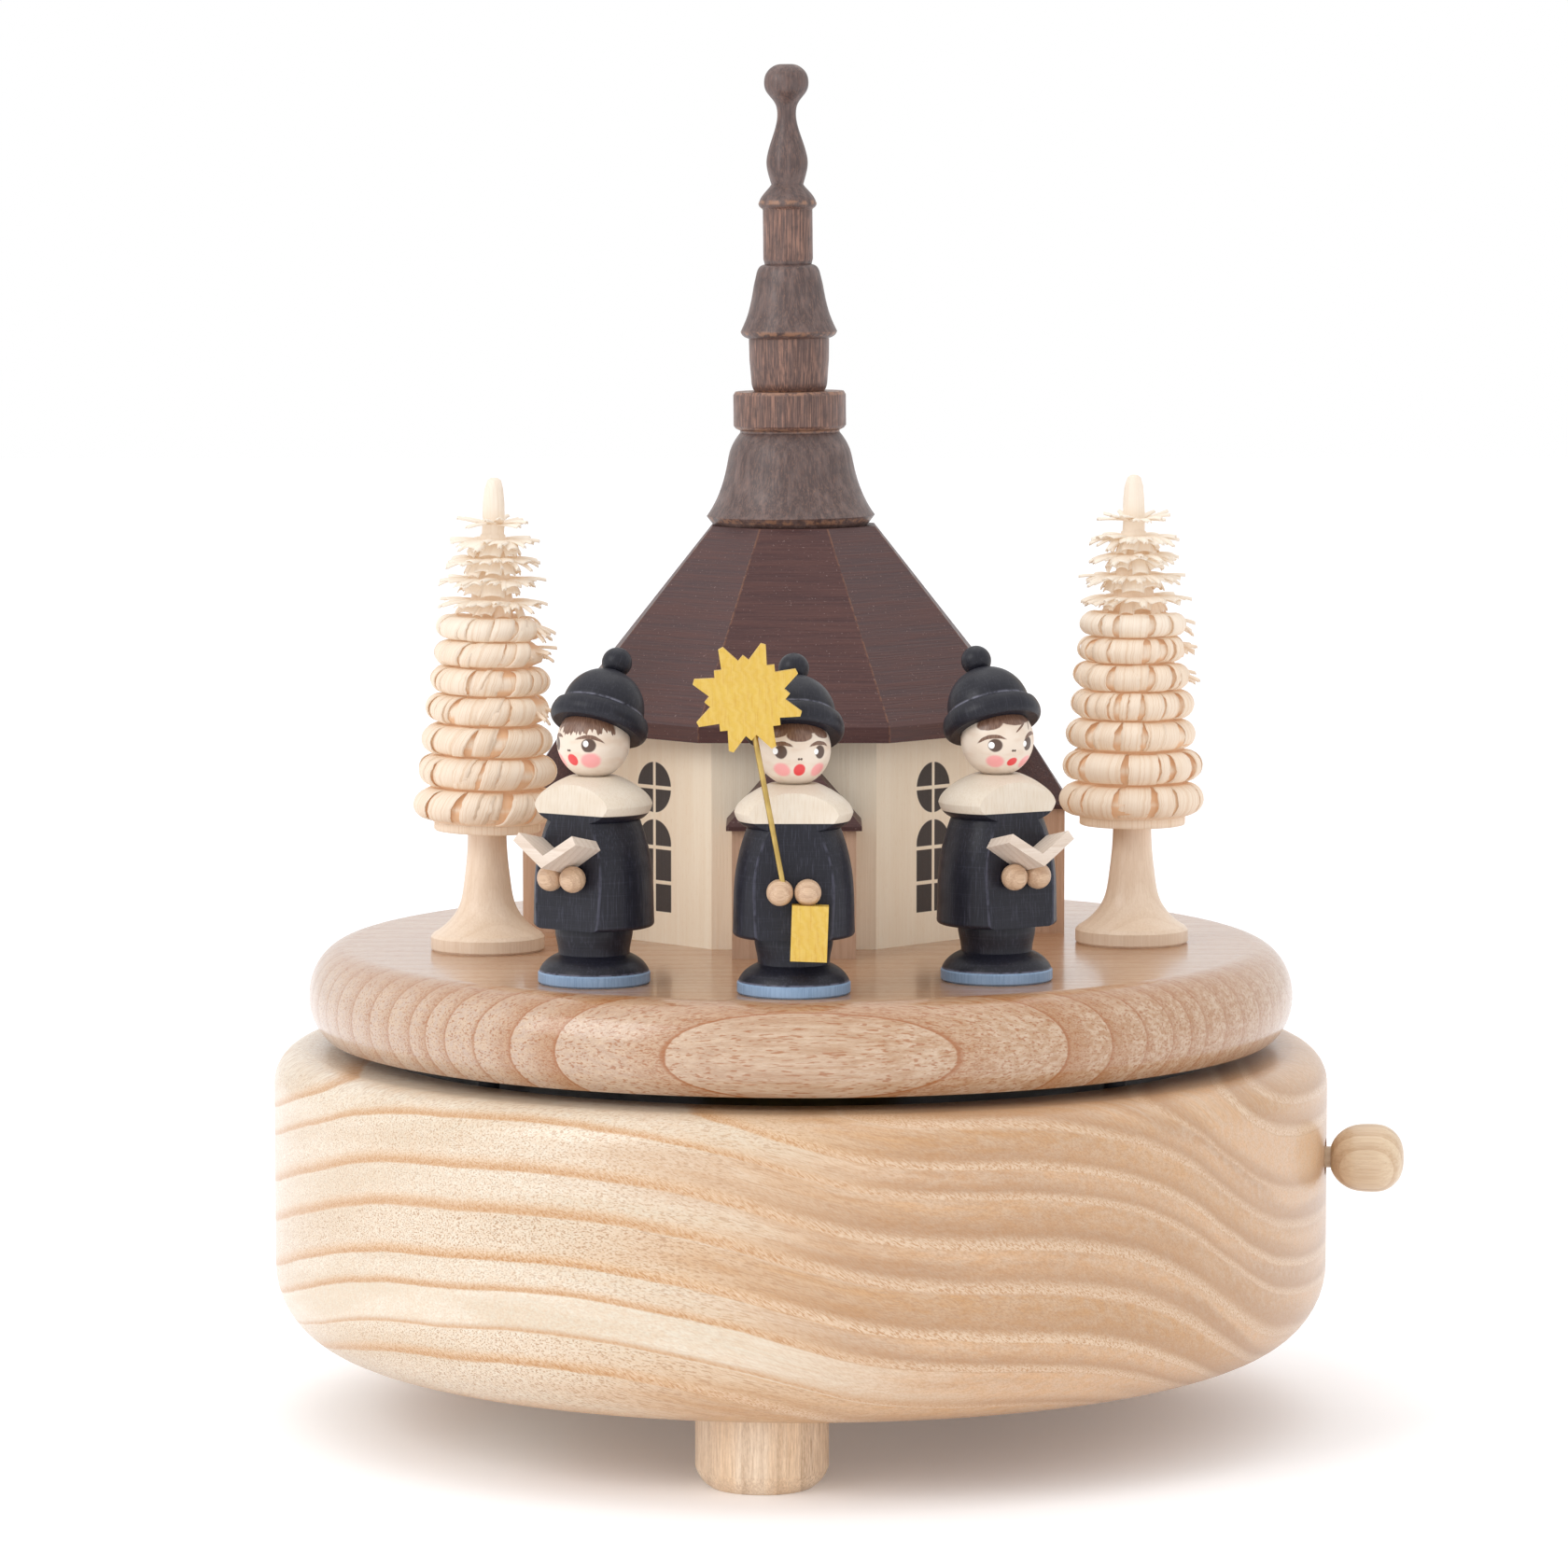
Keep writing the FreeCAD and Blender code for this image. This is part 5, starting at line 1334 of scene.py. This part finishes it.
FACES = {
    "left": (
        (Brush.CHEEK, 31, -27, 1.35, 1.15), (Brush.CHEEK, -44, -29, 1.3, 1.15),
        (Brush.EYE, 28, -1, 1.0, 0.94), (Brush.GLINT, 23.5, 1.5, 0.36, 0.43),
        (Brush.EYE, -41, -1, 1.0, 0.95), (Brush.GLINT, -50, 0, 0.4, 0.45),
        (Brush.BROW, 30.5, 12.0, 1.95, 0.27, -7, 0.13), (Brush.BROW, -40, 12.5, 1.5, 0.27, 6.0, 0.12),
        (Brush.EYE, -8.5, -10, 0.16, 0.16), (Brush.EYE, -5, -10, 0.16, 0.16),
        (Brush.MOUTH, -3, -26, 0.8, 0.9, 8)),
    "middle": (
        (Brush.LOCK, 10, 27, 1.75, 0.95), (Brush.LOCK, 58, 28, 1.4, 0.75, -8),
        (Brush.LOCK, -33, 28, 1.5, 0.55, 6),
        (Brush.CHEEK, -22, -30, 1.15, 1.05), (Brush.CHEEK, 48, -31, 1.1, 1.05),
        (Brush.EYE, -21, 0, 0.9, 0.92), (Brush.GLINT, -30, 1, 0.4, 0.42),
        (Brush.EYE, 45, -1, 0.85, 0.92), (Brush.GLINT, 37, 0, 0.33, 0.38),
        (Brush.BROW, -21, 13, 1.6, 0.27, 2, 0.15), (Brush.BROW, 45, 13, 1.6, 0.27, -2, 0.15),
        (Brush.EYE, 8, -11, 0.17, 0.16), (Brush.EYE, 12, -11, 0.17, 0.16),
        (Brush.MOUTH, 10, -30, 0.78, 0.95)),
    "right": (
        (Brush.LOCK, -47, 31, 1.8, 1.0, 8), (Brush.LOCK, 2, 35, 1.6, 0.65, -4),
        (Brush.BROW, 13, 24, 1.25, 0.14, 33), (Brush.BROW, 36, 26, 0.8, 0.13, 62),
        (Brush.CHEEK, -36, -32, 1.2, 1.0), (Brush.CHEEK, 33, -35, 1.2, 1.0),
        (Brush.EYE, -35, -4, 0.98, 0.9), (Brush.GLINT, -41, -4, 0.42, 0.45),
        (Brush.EYE, 24.5, -3, 0.85, 0.95), (Brush.GLINT, 17, -3, 0.33, 0.4),
        (Brush.BROW, -42, 9.5, 1.95, 0.27, 9, 0.14), (Brush.BROW, 34, 12, 1.4, 0.27, 8, 0.14),
        (Brush.EYE, -6, -13, 0.17, 0.16), (Brush.EYE, -2, -13, 0.17, 0.16),
        (Brush.MOUTH, -3, -33, 0.76, 0.65, 35)),
}


@dataclass
class Singer(SubAssembly):
    """One carol singer: painted figure, its face, its hat and what it holds."""

    side: str
    turn: float
    hair_line: float
    hair_jag: float
    hair_strands: float
    holds: tuple[str, ...]
    coat_profile: Pairs = ((7.7, 8.0), (8.5, 8.15), (10.2, 8.11), (16.1, 7.82), (19.5, 7.13), (22.2, 6.25))
    head_radius: float = 4.95
    hat_tilt: float = 28.0
    brim_top: float = 4.75

    def clothe(self, piece: str, kind: type[Finish], label: str = "", **fields: object) -> None:
        """Give one of this singer's pieces a finish of its own."""
        dress(kind(name=f"{self.side}_{label or piece}_finish", **fields), f"{self.side}_singer_{piece}")

    def build(self) -> None:
        """Dress the figure from the base to the hat, and what it holds."""
        foot = Place.under(f"{self.side}_singer_legs", turn=self.turn)
        _, high = corners(f"{self.side}_singer_head")
        middle = replace(foot, z=high[2] - self.head_radius * MM)
        tipped = replace(middle, turn=self.turn - 90.0, tilt=-self.hat_tilt)
        paint = dict(kind=PaintFinish, specular=0.3, relief=0.03, coat=0.15, coat_roughness=0.25)
        self.clothe("legs", place=foot, second="8ba3bf", second_dark="5f7a98", second_from=-1.0,
                    second_to=1.66, rim_lines=(1.75,), **paint)
        self.clothe("coat", place=foot, second_from=23.2, second_to=40.0, flat_distance=6.4, flat_lean=3.95,
                    flat_foot=7.7, profile=self.coat_profile, **paint)
        # the pale line on the brim's top edge is wear and a painted highlight
        self.clothe("hat", place=tipped, rubbed="70707e", wear=0.45, rim_lines=(self.brim_top,), edge=0.16,
                    **paint)
        self.clothe("head", FaceFinish, "face", place=middle, radius=self.head_radius,
                    hair_line=self.hair_line, hair_jag=self.hair_jag, hair_strands=self.hair_strands,
                    roughness=0.4, coat=0.3, coat_roughness=0.2, relief=0.01,
                    marks=tuple(BrushMark(*row) for row in FACES[self.side]))
        self.clothe("hands", PaleFinish, place=foot, ground="d6b798", dark="a58064", streak_share=0.6,
                    ring_spacing=1.1, fibre_length=2.5, fibre_width=0.14, roughness=0.45, coat=0.2,
                    relief=0.02)
        stained = dict(kind=StarFinish, relief=0.04)
        held = {
            "book": dict(kind=PaleFinish, ground="dfd0c2", dark="bda48e", streak_share=0.3, fibre_length=6.0,
                         fibre_width=0.2, ring_spacing=1.4, relief=0.03),
            "star": stained,
            "star_rod": dict(kind=MetalFinish, ground="c9ad6a", tarnish="96793f", roughness=0.35,
                             relief=0.003),
            "lantern": stained}
        for piece in self.holds:
            self.clothe(piece, place=foot, **held[piece])


@dataclass(frozen=True)
class ShavingKind:
    """One kind of shaving: the tiers that carry it, and the ranges that its sizes are drawn from."""

    tiers: range
    width: tuple[float, float]
    gap: tuple[float, float]
    reach: tuple[float, float]
    rise: tuple[float, float]
    droop: tuple[float, float]
    taper: float
    wide_gap: tuple[float, float] = (0.0, 0.0)
    wide_share: float = 0.0
    turn: float = 0.0


NONE = (0.0, 0.0)
SHAVINGS = (
    ShavingKind(range(0, 7), (0.16, 0.75), (0.002, 0.012), (0.96, 1.05), NONE, NONE, 0.05,
                (0.08, 0.22), 0.26, 4.1),
    ShavingKind(range(0, 7), (0.10, 0.4), (0.3, 0.9), (0.95, 1.0), NONE, NONE, 0.25, turn=3.7),
    ShavingKind(range(7, 11), (0.4, 0.7), (-0.1, 0.02), (0.94, 1.08), (0.4, 0.9), (0.7, 1.7), 0.4),
    ShavingKind(range(7, 11), (0.18, 0.34), (0.05, 0.4), (1.02, 1.2), (0.4, 1.0), (0.7, 2.0), 0.7),
    ShavingKind(range(7, 11), (0.3, 0.6), (0.02, 0.25), (0.6, 0.76), (0.3, 0.5), (2.0, 2.8), 0.1),
    ShavingKind(range(11, 12), (0.2, 0.34), (0.05, 0.25), (0.75, 1.1), (0.4, 1.6), (0.2, 1.2), 0.6),
)
FRAYED = ShavingKind(range(0, 7), (0.18, 0.36), (-0.04, 0.08), (0.96, 1.22), (0.3, 1.2), (0.8, 3.0), 0.6)


@dataclass
class RingTree(SubAssembly):
    """Shaved tree: a core with its disc and stem, and tiers of shavings that curl or fan out of it."""

    side: str
    twist: float
    seed: int
    bow: float
    lean: float = 0.0
    frayed: tuple[tuple[int, float, float], ...] = ()
    tiers: int = 12
    rolled_tiers: int = 7
    disc_radius: float = 7.5
    disc_height: float = 1.2
    disc_edge: float = 0.15
    low_radius: float = 10.2
    high_radius: float = 5.25
    low_step: float = 4.85
    high_step: float = 2.28
    low_core: float = 6.1
    core_fall: float = 1.15
    groove: float = 2.5
    recess: float = 0.4
    stem_radius: float = 1.55
    stem_length: float = 5.7
    core_sides: int = 48
    core_ripple: float = 0.06
    along: int = 19
    across: int = 5
    thickness: float = 0.17
    roll_share: float = 0.475
    roll_shrink: float = 0.09
    slope: float = 0.16
    root: float = 0.3
    shoulder: float = 0.97
    lift: float = 0.12
    sag: float = 0.15
    leaf_drop: float = 0.35
    fall_power: float = 2.2
    leaf_share: float = 0.62
    leaf_slant: float = 0.6
    jitter: tuple[float, float] = (0.007, 0.003)
    cup: tuple[float, float] = (0.1, 0.35)
    shade_spread: float = 90.0
    # painted light: the crown's wood glows faintly in a warm colour, which lightens the gaps between the
    # shavings
    painted_glow: float = 0.2
    foot: np.ndarray = field(init=False)

    def __post_init__(self) -> None:
        """Find the foot of the crown in the frame, on top of the trunk."""
        low, high = corners(self.trunk)
        self.foot = np.array([(low[0] + high[0]) / 2, (low[1] + high[1]) / 2, high[2]])

    @property
    def crown(self) -> str:
        """Name of the CAD node that the core and the shavings stand for."""
        return f"{self.side}_tree_crown"

    @property
    def trunk(self) -> str:
        """Name of the trunk's CAD node."""
        return f"{self.side}_tree_trunk"

    def leaning(self, points: np.ndarray) -> np.ndarray:
        """Turn points about Y through the foot by the crown's lean.

        Args:
            points: Positions in millimetres about the foot.

        Returns:
            The leaning positions in metres in the frame.
        """
        across, up = math.cos(math.radians(self.lean)), math.sin(math.radians(self.lean))
        turn = np.array([[across, 0, up], [0, 1, 0], [-up, 0, across]])
        return points @ turn.T * MM + self.foot

    def levels(self) -> tuple[np.ndarray, np.ndarray, np.ndarray, np.ndarray]:
        """Sizes of the tiers, which shrink evenly from the bottom one to the top one.

        Returns:
            For each tier its lower height, its step, its outer radius and its core's radius.
        """
        share = np.linspace(0, 1, self.tiers)
        step = self.low_step + (self.high_step - self.low_step) * share
        height = self.disc_height + np.concatenate([[0.0], np.cumsum(step)[:-1]])
        radius = self.low_radius + (self.high_radius - self.low_radius) * share
        core = self.stem_radius + (self.low_core - self.stem_radius) * (1 - share) ** self.core_fall
        return height, step, radius, core

    def core_profile(self) -> np.ndarray:
        """Profile of the core: the disc, a bulge in each rolled tier, a step in each other one, the stem.

        Returns:
            Radius and height of each point in millimetres.
        """
        height, step, rim, core = self.levels()
        edge, disc, thick = self.disc_edge, self.disc_radius, self.disc_height
        rows = [[0.0, 0.0], [disc - edge, 0.0], [disc, edge], [disc, thick - edge], [disc - edge, thick]]
        for tier, (low, rise, outer, radius) in enumerate(zip(height, step, rim, core)):
            rolled = tier < self.rolled_tiers
            neck = outer - self.groove if rolled else radius
            swell = self.groove - self.recess if rolled else 0.0
            bulge = ((1.0, 0.0, 0.05 / rise), (1.0, 0.8, 0.22), (1.0, 1.0, 0.5), (0.97, 0.8, 0.78),
                     (0.95, 0.0, 0.97))
            rows += [[neck * wide + swell * out, low + rise * up] for wide, out, up in bulge]
        top = height[-1] + step[-1]
        shares = ((1.0, 0.02), (0.96, 0.4), (0.84, 0.72), (0.6, 0.93), (0.3, 0.99), (0.0, 1.0))
        rows += [[self.stem_radius * wide, top + self.stem_length * up] for wide, up in shares]
        return np.array(rows)

    def is_frayed(self, tier: int, angle: float) -> bool:
        """Whether a rolled tier has come apart into leaves at an angle."""
        return any(tier == number and low < angle < high for number, low, high in self.frayed)

    def strips(self) -> dict[str, np.ndarray]:
        """Lay out the shavings around each tier, one kind after the other, with a gap after each shaving.

        Returns:
            One value for each shaving, in a column under the name of what it says.
        """
        draw = np.random.default_rng(self.seed)
        rows = []
        for kind in SHAVINGS:
            for tier in kind.tiers:
                angle = draw.uniform(-np.pi, 0)
                end = angle + 2 * np.pi
                while angle < end - 0.05:
                    cut = FRAYED if kind.turn and self.is_frayed(tier, angle) else kind
                    width = min(draw.uniform(*cut.width), end - angle)
                    wide = draw.random() < cut.wide_share
                    gap = draw.uniform(*(cut.wide_gap if wide else cut.gap))
                    rows.append([tier, angle + width / 2, width, cut.turn * draw.uniform(0.92, 1.08),
                                 draw.uniform(*cut.reach), draw.uniform(*cut.rise), draw.uniform(*cut.droop),
                                 cut.taper, draw.uniform(-1, 1), draw.uniform(-1, 1), draw.uniform(0, 1)])
                    angle += width + gap
        names = ("tier", "angle", "width", "turn", "reach", "rise", "droop", "taper", "lift", "lean", "shade")
        return {name: value[:, None, None] for name, value in zip(names, np.array(rows).T)}

    def runs(self, strip: dict[str, np.ndarray], share: np.ndarray) -> tuple[np.ndarray, np.ndarray]:
        """Run of each shaving out of the core: rolled ones go round a circle, the others over a parabola.

        Args:
            strip: Values of the shavings.
            share: How far along the shaving, as a column.

        Returns:
            Distance from the axis and height, in millimetres.
        """
        height, step, radius, core = (level[strip["tier"].astype(int)] for level in self.levels())
        roll = step * self.roll_share
        rim = radius * strip["reach"] - self.thickness / 2
        top = height + step * self.shoulder + self.lift * strip["lift"]
        inner = core - self.root
        out = np.clip(share / self.slope, 0, 1)
        turned = np.clip((share - self.slope) / (1 - self.slope), 0, 1) * strip["turn"]
        curl = roll * (1 - self.roll_shrink * np.clip(turned - np.pi / 2, 0, None))
        sloping = share <= self.slope
        rolled_out = np.where(sloping, inner + (rim - roll - inner) * out, rim - roll + curl * np.sin(turned))
        rolled_up = np.where(sloping, top - self.sag * (1 - out) ** 2 * step,
                             top - roll + curl * np.cos(turned))
        leaf_out = inner + (rim - inner) * share
        fallen = strip["droop"] * share ** self.fall_power
        leaf_up = top - self.leaf_drop * step + strip["rise"] * share - fallen
        rolled = strip["turn"] > 0
        return np.where(rolled, rolled_out, leaf_out), np.where(rolled, rolled_up, leaf_up)

    def seat(self, piece: bpy.types.Object, part: str, ground: str, shallow: float, deep: float) -> None:
        """Dress a piece of the crown, attach it to what it rides on, and hide the CAD crown that it stands in
        for.

        Args:
            piece: The object.
            part: Which part of the crown it is.
            ground: Colour of its wood.
            shallow: Depth in millimetres at which the painted warm shade starts.
            deep: Depth at which the painted warm shade is full.
        """
        # The finish glows faintly in a warm colour: painted light.
        finish = ShavingFinish(
            name=f"{self.side}_{part}_wood", place=Place(*self.foot, tilt=self.lean), ground=ground,
            roughness=0.6, shallow=shallow, deep=deep, glow=self.painted_glow, glow_shade="ffcda0",
            low_radius=self.low_radius, high_radius=self.high_radius, relief=0.02)
        piece.data.materials.append(finish.material())
        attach(piece, RIDES)
        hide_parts(self.crown)
        log.info("%s built with %d faces", piece.name, len(piece.data.polygons))

    def build_core(self) -> None:
        """Build the core, with its UV map laid up the axis and around it."""
        points, faces = turned_grid(self.core_profile(), self.core_sides, self.core_ripple)
        core = new_piece(f"{self.side}_tree_core", self.leaning(points), faces)
        places = np.zeros(len(core.data.vertices) * 3)
        core.data.vertices.foreach_get("co", places)
        x, y, z = ((places.reshape(-1, 3) - self.foot) / MM).T
        unwrap(core, np.stack([z, np.abs(np.arctan2(y, x)) * self.low_core], axis=-1))
        self.seat(core, "core", "d3c6b6", 0.2, 0.6)

    def build_shavings(self) -> None:
        """Build the shavings as grids that follow their runs, slant with the twist and narrow to the end."""
        strip = self.strips()
        share = np.linspace(0, 1, self.along)[:, None]
        side = np.linspace(-0.5, 0.5, self.across)
        out, rise = self.runs(strip, share)
        rolled = strip["turn"] > 0
        leaf = self.low_radius * self.leaf_share / np.clip(out, 2.0, None)
        narrow = (1 - strip["taper"] * share ** self.fall_power) * np.where(rolled, 1.0, leaf)
        narrow = narrow - np.where(rolled, self.bow, 0.0) * np.sin(np.pi * share) ** 2
        slant = np.radians(self.twist) * (1 + 0.5 * strip["lean"]) * share
        slant = slant * np.where(rolled, 1.0, self.leaf_slant)
        draw = np.random.default_rng(self.seed + 1)
        ragged = draw.normal(0, 1, (len(out), self.along, self.across)) * np.where(rolled, *self.jitter)
        angle = strip["angle"] + slant + strip["width"] * narrow * side + ragged
        cupped = np.where(rolled, *self.cup) * (1 - 4 * side ** 2) * share
        reach = out + np.where(rolled, cupped, 0.0)
        level = rise + np.where(rolled, 0.0, cupped)
        points = np.stack([reach * np.cos(angle), reach * np.sin(angle), level], axis=-1).reshape(-1, 3)
        faces = grid_faces(len(out), self.along, self.across).tolist()
        piece = new_piece(f"{self.side}_tree_shavings", self.leaning(points), faces)
        ahead, upward = (np.diff(path, axis=1, prepend=path[:, :1]) for path in (out, rise))
        run = np.cumsum(np.hypot(ahead, upward), axis=1)
        width = strip["width"] * self.low_radius * side + strip["shade"] * self.shade_spread
        unwrap(piece, np.stack(np.broadcast_arrays(run, width), axis=-1).reshape(-1, 2))
        wall = piece.modifiers.new("wall", "SOLIDIFY")
        wall.thickness = self.thickness * MM
        wall.offset = 0.0
        piece.modifiers.new("shading", "WEIGHTED_NORMAL")
        self.seat(piece, "shavings", "d3c8b9", 0.9, 3.0)

    def build(self) -> None:
        """Build the crown and dress the trunk."""
        self.build_core()
        self.build_shavings()
        dress(PaleFinish(name=f"{self.side}_trunk_wood", place=Place.under(self.trunk, tilt=-90.0),
                         ground="ecd6bf", dark="cfae8c", streak_share=0.3, ring_spacing=2.2, ring_share=0.15,
                         fibre_width=0.25, roughness=0.42, coat=0.25, coat_roughness=0.25, relief=0.02),
              self.trunk)


@dataclass
class Studio:
    """Pale floor, soft lights and the camera at the photograph's angle."""

    camera_aside: float = -2.394
    camera_back: float = -883.83
    camera_height: float = 176.13
    camera_dip: float = 0.0973
    lens: float = 143.26
    sensor: float = 36.0
    floor_size: float = 6.0
    floor_glow: float = 0.09
    world_light: float = 1.0
    aim: tuple[float, float, float] = (0.0, 0.0, 0.09)
    lamps: tuple[tuple[str, tuple[float, float, float], float, float], ...] = (
        ("key_light", (-1.05, -0.8, 0.9), 0.8, 6.5),
        ("fill_light", (0.9, -1.0, 0.5), 0.8, 0.4),
        ("top_light", (0.0, 0.2, 1.4), 1.2, 3.5))

    def place(self, name: str, data: bpy.types.ID, spot: tuple, turn: tuple) -> bpy.types.Object:
        """Put a lamp or a camera into the scene.

        Args:
            name: Name of the object.
            data: The lamp or the camera.
            spot: Its place in metres.
            turn: Its angles in radians.

        Returns:
            The object.
        """
        holder = bpy.data.objects.new(name, data)
        holder.location, holder.rotation_euler = spot, turn
        bpy.context.scene.collection.objects.link(holder)
        return holder

    def add_lamp(self, name: str, spot: tuple[float, float, float], size: float, power: float) -> None:
        """Add a large soft light that looks at the middle of the box.

        Args:
            name: Name of the light.
            spot: Its place in metres.
            size: Its side in metres.
            power: Its power in watts.
        """
        lamp = bpy.data.lights.new(name, "AREA")
        lamp.shape, lamp.size, lamp.energy = "SQUARE", size, power
        x, y, z = np.array(self.aim) - np.array(spot)
        self.place(name, lamp, spot, (math.atan2(math.hypot(x, y), -z), 0.0, math.atan2(-x, y)))

    def build(self) -> None:
        """Set up the floor, the light and the camera."""
        scene = bpy.context.scene
        square = np.array([[-1, -1, 0], [1, -1, 0], [1, 1, 0], [-1, 1, 0]]) * self.floor_size / 2
        floor = new_piece("floor", square, [[0, 1, 2, 3]], smooth=False)
        board = FloorFinish(name="pale_floor", roughness=0.9, glow=self.floor_glow)
        floor.data.materials.append(board.material())
        scene.world = bpy.data.worlds.new("studio")
        scene.world.use_nodes = True
        bench = NodeBench(scene.world.node_tree)
        sky = bench.add("Background", {"Color": "ffffff", "Strength": self.world_light})
        bench.add("OutputWorld", {"Surface": sky.outputs[0]})
        scene.view_settings.view_transform = "Standard"
        for lamp in self.lamps:
            self.add_lamp(*lamp)
        eye = bpy.data.cameras.new("photo_camera")
        eye.lens, eye.sensor_width, eye.clip_start = self.lens, self.sensor, 0.01
        aside = Place.under("turntable").x + self.camera_aside * MM
        spot = (aside, self.camera_back * MM, self.camera_height * MM)
        scene.camera = self.place("photo_camera", eye, spot, (math.pi / 2 - self.camera_dip, 0.0, 0.0))


def main() -> None:
    """Build the studio and each sub-assembly in order."""
    logging.basicConfig(level=logging.INFO, format="%(message)s")
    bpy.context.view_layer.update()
    Studio().build()
    assemblies: list[SubAssembly] = [
        Housing(),
        Turntable(),
        Movement(),
        Church(),
        Singer("left", -34.0, 18.5, 10.0, 8.0, ("book",)),
        Singer("middle", 0.0, 29.0, 2.0, 16.0, ("star", "star_rod", "lantern")),
        Singer("right", 30.0, 31.0, 2.0, 16.0, ("book",)),
        RingTree("left", -20.0, 11, 0.1, lean=1.4, frayed=((3, -0.9, 0.4), (5, -0.6, 0.6), (6, -1.1, 0.5))),
        RingTree("right", -6.0, 23, 0.18, frayed=((4, -0.5, 0.5), (5, -0.7, 0.3), (6, -0.6, 0.7))),
    ]
    for assembly in assemblies:
        assembly.build()


if __name__ == "__main__":
    main()
